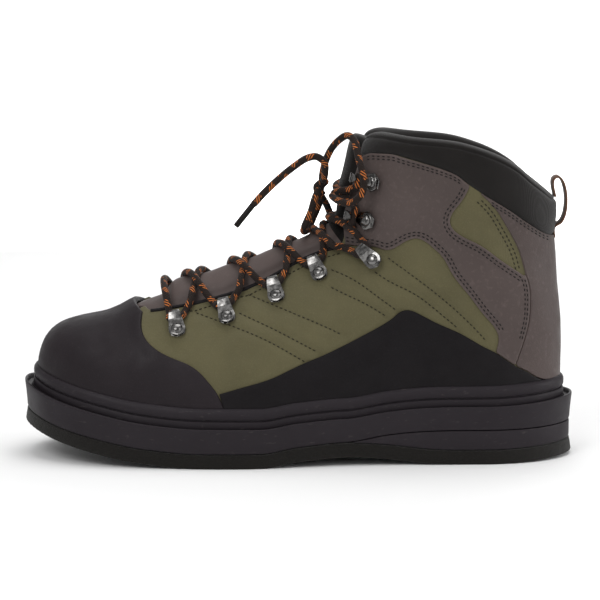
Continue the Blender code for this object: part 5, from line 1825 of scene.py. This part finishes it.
def rivet(bm, base, radius, rise):
    """A domed rivet head in a raised ring, spun round its own axis."""
    profile = [
        (1.30, 0.00), (1.30, 0.12), (1.22, 0.20), (1.10, 0.20), (1.04, 0.10), (0.98, 0.10),
        (0.95, 0.38), (0.84, 0.66), (0.62, 0.87), (0.34, 0.97), (0.0, 1.0),
    ]
    verts = [bm.verts.new((radius * r, 0, base + rise * h)) for r, h in profile]
    verts.insert(0, bm.verts.new((0, 0, base)))
    edges = [bm.edges.new(pair) for pair in zip(verts, verts[1:])]
    bmesh.ops.spin(
        bm, geom=verts + edges, cent=(0, 0, 0), axis=(0, 0, 1), angle=2 * math.pi, steps=20, use_merge=True
    )
    bmesh.ops.remove_doubles(bm, verts=bm.verts, dist=1e-6)
    bmesh.ops.recalc_face_normals(bm, faces=bm.faces)


def loop_mesh():
    """Folded strap with a tunnel for the lace, pressed flanges and a rivet."""
    gauge, top = STRAP_GAUGE, LOOP_HEIGHT
    tip = LOOP_LENGTH - LOOP_WIDTH / 2
    outer = [
        (-LOOP_WIDTH / 2, 0.0),
        (tip - 0.25 * top, 0.0),
        (tip - 0.02 * top, 0.25 * top),
        (tip - 0.04 * top, 0.80 * top),
        (tip - 0.42 * top, top),
        (0.42 * tip, 0.80 * top),
        (0.22 * tip, 2.3 * gauge),
        (-LOOP_WIDTH / 2, 2.0 * gauge),
    ]
    hole_back = 0.30 * tip
    hole = [
        (hole_back, gauge),
        (tip - 0.30 * top, gauge),
        (tip - 0.20 * top, 0.30 * top),
        (tip - 0.22 * top, 0.74 * top),
        (tip - 0.46 * top, top - gauge),
        (0.50 * tip, 0.80 * top - gauge),
        (hole_back + 0.0004, 1.9 * gauge),
        (hole_back, 1.4 * gauge),
    ]
    bm = bmesh.new()

    def half_at(a):
        round_end = LOOP_WIDTH / 2
        if a < 0:
            return math.sqrt(max(round_end**2 - a * a, 0.0)) + 0.0002
        return round_end + 0.0002 + (LOOP_TIP_WIDTH / 2 - round_end) * min(a / tip, 1.0)

    def walk(points):
        made = []
        for (a, h), (b, k) in zip(points, points[1:] + points[:1]):
            made += [(a + (b - a) * t / 12, h + (k - h) * t / 12) for t in range(12)]
        return made

    outer, hole = walk(outer), walk(hole)
    rows = []
    for line, side in ((hole, -1), (outer, -1), (outer, 1), (hole, 1)):
        rows.append(np.array([(a, side * half_at(a), h) for a, h in line]))
    carry(bm, [*rows, rows[0]], capped=False)
    bmesh.ops.remove_doubles(bm, verts=bm.verts, dist=1e-6)
    bmesh.ops.recalc_face_normals(bm, faces=bm.faces)
    bmesh.ops.dissolve_limit(bm, angle_limit=math.radians(1), verts=bm.verts, edges=bm.edges)
    sharp = [e for e in bm.edges if len(e.link_faces) == 2 and e.calc_face_angle() > math.radians(24)]
    soften(bm, sharp, STEEL_EDGE)
    head = bmesh.new()
    rivet(head, 1.4 * gauge, RIVET_RADIUS * 0.98, 2.4 * gauge)
    return [bm, head]


def hook_mesh():
    """Six-sided plate with a curled strap and a rivet."""
    gauge, half = STRAP_GAUGE, HOOK_PLATE / 2
    plate = bmesh.new()
    corners = [(-half, -0.45 * half), (-half, 0.45 * half), (-0.1 * half, 0.95 * half), (half, 0.55 * half)]
    corners += [(half, -0.55 * half), (-0.1 * half, -0.95 * half)]
    face = plate.faces.new([plate.verts.new((x, y, 0)) for x, y in corners])
    made = bmesh.ops.extrude_face_region(plate, geom=[face], use_keep_orig=True)["geom"]
    top = [g for g in made if isinstance(g, bmesh.types.BMVert)]
    bmesh.ops.translate(plate, verts=top, vec=(0, 0, gauge))
    bmesh.ops.recalc_face_normals(plate, faces=plate.faces)
    soften(plate, plate.edges[:], PLATE_EDGE)
    reach, top = HOOK_REACH, HOOK_HEIGHT
    points = [
        (0.75 * half, 0, 0.5 * gauge),
        (0.70 * reach, 0, 0.5 * gauge),
        (0.93 * reach, 0, 0.22 * top),
        (reach, 0, 0.52 * top),
        (0.92 * reach, 0, 0.84 * top),
        (0.72 * reach, 0, 0.97 * top),
        (0.50 * reach, 0, 0.92 * top),
    ]
    path = [(p.x, p.z) for p in smooth_path(points, HOOK_STEPS)]
    width = smooth_curve(np.linspace(0, 1, len(HOOK_WIDTHS)), HOOK_WIDTHS)
    widths = [float(width(i / HOOK_STEPS)) for i in range(HOOK_STEPS + 1)]
    curl = bmesh.new()
    carry(curl, strap_rings(path, widths, gauge))
    bmesh.ops.recalc_face_normals(curl, faces=curl.faces)
    head = bmesh.new()
    rivet(head, 0.9 * gauge, RIVET_RADIUS * 0.95, 2.0 * gauge)
    return [plate, curl, head]


def joined(parts):
    """One bmesh from several."""
    whole = bmesh.new()
    for part in parts:
        mesh = bpy.data.meshes.new("part")
        part.to_mesh(mesh)
        whole.from_mesh(mesh)
        part.free()
        bpy.data.meshes.remove(mesh)
    return whole


def seat_frame(side, row):
    """Where a loop or hook sits: X towards its tip and Z away from the upper."""
    x, z, tip_x, tip_z = at_x(row[0]), at_z(row[1]), at_x(row[2]), at_z(row[3])
    rivet_at, tip = Vector(on_body(side, x, z)), Vector(on_body(side, tip_x, tip_z))
    along = (tip - rivet_at).normalized()
    rise = float(half_width(side, x, z + SLOPE_STEP) - half_width(side, x, z - SLOPE_STEP)) / (2 * SLOPE_STEP)
    out = Vector((-float(slope(side, x, z)), side, -rise)).normalized()
    out = (out - along * out.dot(along)).normalized()
    across = out.cross(along)
    raised = HARDWARE_LIFT + row[4] * (OVERLAY_THICKNESS + GAP)
    matrix = Matrix((along, across, out)).transposed().to_4x4()
    matrix.translation = rivet_at + out * raised
    return matrix


def make_hardware():
    """Lace loops and hooks, each kind made once and set in its places."""
    for label, source, parts in (("lace_loop", LOOPS, loop_mesh()), ("lace_hook", HOOKS, hook_mesh())):
        whole = joined(parts)
        for side, name in ((OUTER, "outer"), (INNER, "inner")):
            for i, row in enumerate(source):
                bm = whole.copy()
                bmesh.ops.transform(bm, matrix=seat_frame(side, row), verts=bm.verts)
                node = f"{label}_{name}_{i + 1}"
                finished(f"steel_{node}", bm, finishes["steel"], replaced=[node], angle=30)
        whole.free()


# The lace.

LACE_SIDES = 14


def round_cord(bm, path, radius, start=0.0, sides=LACE_SIDES, taper=0.0):
    """A round cord along a path, with a UV map that runs round it and along it in metres."""
    path = [Vector(p) for p in path]
    run = [start]
    rings = []
    along = (path[1] - path[0]).normalized()
    across = along.orthogonal().normalized()
    for i, p in enumerate(path):
        if i:
            run.append(run[-1] + (p - path[i - 1]).length)
        along = (path[min(i + 1, len(path) - 1)] - path[max(i - 1, 0)]).normalized()
        across = (across - along * across.dot(along)).normalized()
        up = along.cross(across)
        turn = [2 * math.pi * k / sides for k in range(sides)]
        size = radius * (1 - taper * (i in (0, len(path) - 1)))
        rings.append(np.array([p + (across * math.cos(a) + up * math.sin(a)) * size for a in turn]))
    carry(bm, rings, uv=(np.arange(sides + 1) / sides, run))
    return run[-1] - run[0]


def anchor(side, row, end):
    """Where the lace enters or leaves a loop or hook: end is -1 on its toe side and +1 on its heel side."""
    is_loop = row < len(LOOPS)
    matrix = seat_frame(side, LOOPS[row] if is_loop else HOOKS[row - len(LOOPS)])
    tip = LOOP_LENGTH - LOOP_WIDTH / 2
    forward = (0.62 * tip, 0.52 * LOOP_HEIGHT) if is_loop else (0.60 * HOOK_REACH, 0.48 * HOOK_HEIGHT)
    across = side * end * (LOOP_TIP_WIDTH / 2 + 0.0008)
    return matrix @ Vector((forward[0], across, forward[1]))


def station_of(point):
    """The ridge's station nearest to a point."""
    shares = np.linspace(0, 1, 201)
    xs, zs = front.at(shares)
    return float(shares[np.argmin((xs - point.x) ** 2 + (zs - point.z) ** 2)])


LACE_BASE = 0.0048
CROSS_AT = 0.325
# Where two strands cross, one dips and climbs the instep early, and the other rises and climbs late.
UNDER, EARLY = -0.0011, 0.6
OVER, LATE = 0.0024, 1.7


def crossing(start, end, over, steps=14, haste=1.0, peak=0.5):
    """Points of one strand over the tongue. haste below 1 climbs the instep early, and over lifts the
    strand at its peak, where the other one passes below."""
    va, vb = station_of(start), station_of(end)
    ya, yb = start.y - float(centre_y(start.x)), end.y - float(centre_y(end.x))
    inner_reach = min(abs(ya), abs(yb)) * 0.94
    t = np.arange(1, steps) / steps
    v = va + (vb - va) * t**haste
    y = np.clip(ya + (yb - ya) * t, -inner_reach, inner_reach)
    height = LACE_BASE + over * np.exp(-(((t - peak) / 0.12) ** 2))
    points = over_instep(v, y, height)
    near = blend(np.minimum(t, 1 - t), 0.0, 0.20)
    made = []
    for share, p, k in zip(t, points, near):
        made.append(start.lerp(end, float(share)).lerp(Vector(p), float(k)))
    return made


def strand(first_side):
    """From the bar's end up to the top hook: visits one loop or hook of each row, changing sides."""
    rows = len(LOOPS) + len(HOOKS)
    side, points = first_side, []
    for row in range(rows):
        enter, leave = anchor(side, row, -1), anchor(side, row, 1)
        points += [enter, enter.lerp(leave, 0.5), leave]
        if row < rows - 1:
            over, haste, peak = (UNDER, EARLY, CROSS_AT) if side == OUTER else (OVER, LATE, 1 - CROSS_AT)
            points += crossing(leave, anchor(-side, row + 1, -1), over, haste=haste, peak=peak)
            side = -side
    return points


def make_lacing():
    """The lace through all loops and hooks: from one upper hook down to the first bar and up again."""
    up_outer, up_inner = strand(OUTER), strand(INNER)
    bar = crossing(up_outer[0], up_inner[0], 0.0)
    path = smooth_path(up_outer[::-1] + bar + up_inner, 900)
    bm = bmesh.new()
    round_cord(bm, path, LACE_DIAMETER / 2)
    bmesh.ops.recalc_face_normals(bm, faces=bm.faces)
    replaced = ["lace_bar"] + [f"lace_cross_{i}" for i in range(1, len(LOOPS) + len(HOOKS))]
    finished("lace_laced", bm, finishes["lace"], replaced=replaced, angle=0)


def free_cord(name, route, samples, node, start):
    """One free part of the lace, from its exit at the knot. start shifts its braid."""
    path = smooth_path(route, samples)
    bm = bmesh.new()
    length = round_cord(bm, path, LACE_DIAMETER / 2, start, taper=0.22)
    bmesh.ops.recalc_face_normals(bm, faces=bm.faces)
    piece = finished(name, bm, finishes["lace"], replaced=[node], angle=0)
    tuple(route[0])
    [tuple(p) for p in path]


def make_tip(name, ends, node):
    """A lace tip, slipped over its cord's tapered end."""
    a, b = (Vector(p) for p in ends)
    a = a - (b - a).normalized() * LACE_DIAMETER * 0.6
    path = [a, a.lerp(b, 0.04), a.lerp(b, 0.3), a.lerp(b, 0.6), a.lerp(b, 0.96), b]
    bm = bmesh.new()
    round_cord(bm, path, TIP_RADIUS, taper=0.25)
    bmesh.ops.recalc_face_normals(bm, faces=bm.faces)
    return finished(name, bm, finishes["tip"], replaced=[node], angle=40)


# Wraps of the knot, as points off its middle in metres, with each wrap's share of the lace's radius.
KNOT_WRAPS = (
    (
        0.98,
        (0.0000, -0.0042, 0.0032),
        (0.0022, 0.0002, 0.0050),
        (0.0000, 0.0044, 0.0026),
        (-0.0016, 0.0040, -0.0018),
        (-0.0022, 0.0004, -0.0034),
        (-0.0014, -0.0040, -0.0016),
        (0.0000, -0.0042, 0.0032),
    ),
    (
        0.96,
        (0.0008, 0.0004, -0.0046),
        (-0.0024, -0.0022, -0.0014),
        (-0.0030, -0.0012, 0.0024),
        (-0.0002, 0.0014, 0.0048),
    ),
    (
        0.94,
        (0.0010, 0.0042, -0.0030),
        (-0.0018, 0.0028, 0.0006),
        (-0.0020, 0.0006, 0.0030),
    ),
)


def make_knot():
    """Wraps of the same lace round each other."""
    bm = bmesh.new()
    for i, (share, *wrap) in enumerate(KNOT_WRAPS):
        path = smooth_path([KNOT + Vector(p) for p in wrap], 40)
        round_cord(bm, path, LACE_DIAMETER / 2 * share, start=0.01 * i, taper=0.3)
    bmesh.ops.recalc_face_normals(bm, faces=bm.faces)
    finished("lace_bow_knot", bm, finishes["lace"], replaced=["lace_knot"], angle=0)


def make_bow():
    """The knot, two loops, and two ends with their tips."""
    make_knot()
    long_tip = make_tip("lace_tip_front", LONG_TIP, "lace_tip_long")
    short_tip = make_tip("lace_tip_inner", SHORT_TIP, "lace_tip_short")
    free_cord("lace_loop_standing", STANDING_LOOP, 60, "lace_standing_loop", 0.2)
    free_cord("lace_loop_falling", FALLING_LOOP, 80, "lace_falling_loop", 0.3)
    free_cord("lace_free_long", LONG_END, 60, "lace_end_long", 0.4)
    free_cord("lace_free_short", SHORT_END, 50, "lace_end_short", 0.5)


# Camera, light and floor.

CAMERA_AT = Vector((0.0, -1.5, 0.2825))
CAMERA_AIM = Vector((0.0018, 0.0, 0.0907))
LENS = 152.5
SENSOR = 36.0
BACKDROP = 3.0
SWEEP = 2.0
DAYLIGHT = 0.45

# Lamps: name, place, what they aim at, width in metres and power in watts.
LAMPS = (
    ("key", (-0.9, -1.6, 1.6), (0, 0, 0.08), 1.2, 19),
    ("fill", (1.2, -1.3, 0.9), (0, 0, 0.08), 1.2, 5),
    ("top", (0.1, 0.2, 1.9), (0, 0, 0.05), 1.6, 16),
    ("rim", (0.4, 1.5, 1.0), (0, 0, 0.1), 1.2, 7),
    ("heel side", (1.5, 0.05, 0.45), (0.1, 0, 0.09), 0.8, 7),
    ("backdrop", (0, 1.2, 1.1), (0, 4.5, 0.8), 1.6, 90),
)


def make_camera():
    """The camera at the boot's outer side, a little above it."""
    data = bpy.data.cameras.new("camera")
    data.lens, data.sensor_width = LENS, SENSOR
    data.clip_start, data.clip_end = 0.05, 50
    camera = bpy.data.objects.new("camera", data)
    bpy.context.scene.collection.objects.link(camera)
    camera.location = CAMERA_AT
    camera.rotation_euler = (CAMERA_AIM - CAMERA_AT).to_track_quat("-Z", "Y").to_euler()
    bpy.context.scene.camera = camera


def area_light(name, at, aim, size, power):
    """A round soft lamp."""
    data = bpy.data.lights.new(name, "AREA")
    data.shape, data.size, data.energy = "DISK", size, power
    light = bpy.data.objects.new(name, data)
    bpy.context.scene.collection.objects.link(light)
    light.location = at
    light.rotation_euler = (Vector(aim) - Vector(at)).to_track_quat("-Z", "Y").to_euler()


def make_stage():
    """A pale floor that sweeps up behind the boot, the lamps and an even sky."""
    bm = bmesh.new()
    bmesh.ops.create_grid(bm, x_segments=1, y_segments=1, size=BACKDROP)
    rear = [e for e in bm.edges if all(v.co.y > 0 for v in e.verts)]
    bmesh.ops.spin(
        bm, geom=rear, cent=(0, BACKDROP, SWEEP), axis=(1, 0, 0), dvec=(0, 0, 0), angle=math.pi / 2, steps=24
    )
    bmesh.ops.recalc_face_normals(bm, faces=bm.faces)
    mesh = bpy.data.meshes.new("floor")
    bm.to_mesh(mesh)
    bm.free()
    mesh.shade_smooth()
    pale = Finish("pale_floor", (0.9, 0.9, 0.9), 0.9)
    pale.tint(pale.ranged(pale.noise(3), 0.3, 0.7, 0.0, 0.1), (0.86, 0.86, 0.86))
    mesh.materials.append(pale.material)
    floor = bpy.data.objects.new("floor", mesh)
    bpy.context.scene.collection.objects.link(floor)
    for lamp in LAMPS:
        area_light(*lamp)
    world = bpy.data.worlds.new("soft_white")
    world.use_nodes = True
    world.node_tree.nodes["Background"].inputs[0].default_value = (1, 1, 1, 1)
    world.node_tree.nodes["Background"].inputs[1].default_value = DAYLIGHT
    bpy.context.scene.world = world
    bpy.context.scene.view_settings.view_transform = "Standard"


# The add-on.


def colour(name, description, default):
    return FloatVectorProperty(
        name=name, description=description, default=default, subtype="COLOR", size=3, min=0.0, max=1.0
    )


def size(name, description, default):
    return FloatProperty(
        name=name, description=description, default=default, min=0.0, precision=5, unit="LENGTH"
    )


class BootSizes(bpy.types.PropertyGroup):
    stitch_pitch: size("Stitch pitch", "From one stitch to the next", 0.0028)
    stitch_length: size("Stitch length", "Thread seen between two holes", 0.0021)
    thread_radius: size("Thread radius", "Half the thickness of the sewing thread", 0.00042)
    binding_radius: size("Binding radius", "Half the thickness of the bound edge at the throat", 0.0012)


class BootColours(bpy.types.PropertyGroup):
    olive: colour("Olive", "Textile of the quarter", (0.104, 0.093, 0.048))
    grey: colour("Grey", "Leather of ankle, heel and tongue", (0.078, 0.060, 0.056))
    toe: colour("Toe", "Rubber coating of the toe cap", (0.0150, 0.0115, 0.0135))
    rand: colour("Side rubber", "Rubber coating of the sides", (0.0062, 0.0050, 0.0058))
    sole: colour("Sole", "Rubber of midsole, heel wedge and foxing", (0.0190, 0.0155, 0.0185))
    felt: colour("Felt", "Outsole", (0.009, 0.008, 0.007))
    collar: colour("Collar", "Neoprene of collar and tongue top", (0.0062, 0.0050, 0.0044))
    steel: colour("Steel", "Loops, hooks and rivets", (0.20, 0.195, 0.19))
    lace: colour("Lace", "Braid of the lace", (0.0130, 0.0085, 0.0070))
    fleck: colour("Fleck", "Bright strands in the lace", (0.50, 0.15, 0.035))
    tape: colour("Heel tape", "Webbing of the pull loop", (0.12, 0.060, 0.035))


class BOOT_OT_finishes(bpy.types.Operator):
    """Make the boot's materials"""

    bl_idname = "boot.finishes"
    bl_label = "Finishes"

    def execute(self, context):
        make_finishes(context.scene.boot_colours)
        return {"FINISHED"}


class BOOT_OT_camera(bpy.types.Operator):
    """Set the camera at the side of the boot"""

    bl_idname = "boot.camera"
    bl_label = "Camera"

    def execute(self, context):
        make_camera()
        return {"FINISHED"}


class BOOT_OT_lace(bpy.types.Operator):
    """Lace the boot and tie its bow"""

    bl_idname = "boot.lace"
    bl_label = "Lace"

    def execute(self, context):
        make_bow()
        make_lacing()
        return {"FINISHED"}


class BOOT_OT_sole(bpy.types.Operator):
    """Build felt, heel wedge, midsole and foxing band"""

    bl_idname = "boot.sole"
    bl_label = "Sole"

    def execute(self, context):
        make_felt()
        make_heel_lift()
        make_midsole()
        make_welt()
        return {"FINISHED"}


class BOOT_OT_upper(bpy.types.Operator):
    """Build the olive upper and the panels sewn onto it"""

    bl_idname = "boot.upper"
    bl_label = "Upper"

    def execute(self, context):
        make_upper()
        make_toe_cap()
        make_side_overlays()
        make_counter()
        make_seams(context.scene.boot_sizes)
        make_piping(context.scene.boot_sizes)
        return {"FINISHED"}


class BOOT_OT_padding(bpy.types.Operator):
    """Build the padded collar and tongue"""

    bl_idname = "boot.padding"
    bl_label = "Collar and tongue"

    def execute(self, context):
        make_collar()
        make_tongue()
        return {"FINISHED"}


class BOOT_OT_trims(bpy.types.Operator):
    """Build the lace loops, hooks and heel tape"""

    bl_idname = "boot.trims"
    bl_label = "Trims"

    def execute(self, context):
        make_hardware()
        make_pull_loop()
        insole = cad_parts["insole"]
        insole.data.materials.clear()
        insole.data.materials.append(finishes["lining"])
        return {"FINISHED"}


class BOOT_OT_stage(bpy.types.Operator):
    """Set the floor and the lights"""

    bl_idname = "boot.stage"
    bl_label = "Stage"

    def execute(self, context):
        make_stage()
        return {"FINISHED"}


STEPS = ("finishes", "camera", "lace", "sole", "upper", "padding", "trims", "stage")


class BOOT_PT_panel(bpy.types.Panel):
    """The boot's building steps, sizes and colours"""

    bl_idname = "BOOT_PT_panel"
    bl_label = "Wading boot"
    bl_space_type = "VIEW_3D"
    bl_region_type = "UI"
    bl_category = "Boot"

    def draw(self, context):
        for step in STEPS:
            self.layout.operator(f"boot.{step}")
        for group, kind in ((context.scene.boot_sizes, BootSizes), (context.scene.boot_colours, BootColours)):
            for name in kind.__annotations__:
                self.layout.prop(group, name)


CLASSES = (
    BootSizes,
    BootColours,
    BOOT_OT_finishes,
    BOOT_OT_camera,
    BOOT_OT_lace,
    BOOT_OT_sole,
    BOOT_OT_upper,
    BOOT_OT_padding,
    BOOT_OT_trims,
    BOOT_OT_stage,
    BOOT_PT_panel,
)


def register():
    for kind in CLASSES:
        bpy.utils.register_class(kind)
    bpy.types.Scene.boot_sizes = PointerProperty(type=BootSizes)
    bpy.types.Scene.boot_colours = PointerProperty(type=BootColours)


def unregister():
    del bpy.types.Scene.boot_colours
    del bpy.types.Scene.boot_sizes
    for kind in reversed(CLASSES):
        bpy.utils.unregister_class(kind)


def main():
    register()
    for step in STEPS:
        getattr(bpy.ops.boot, step)()


if __name__ == "__main__":
    main()
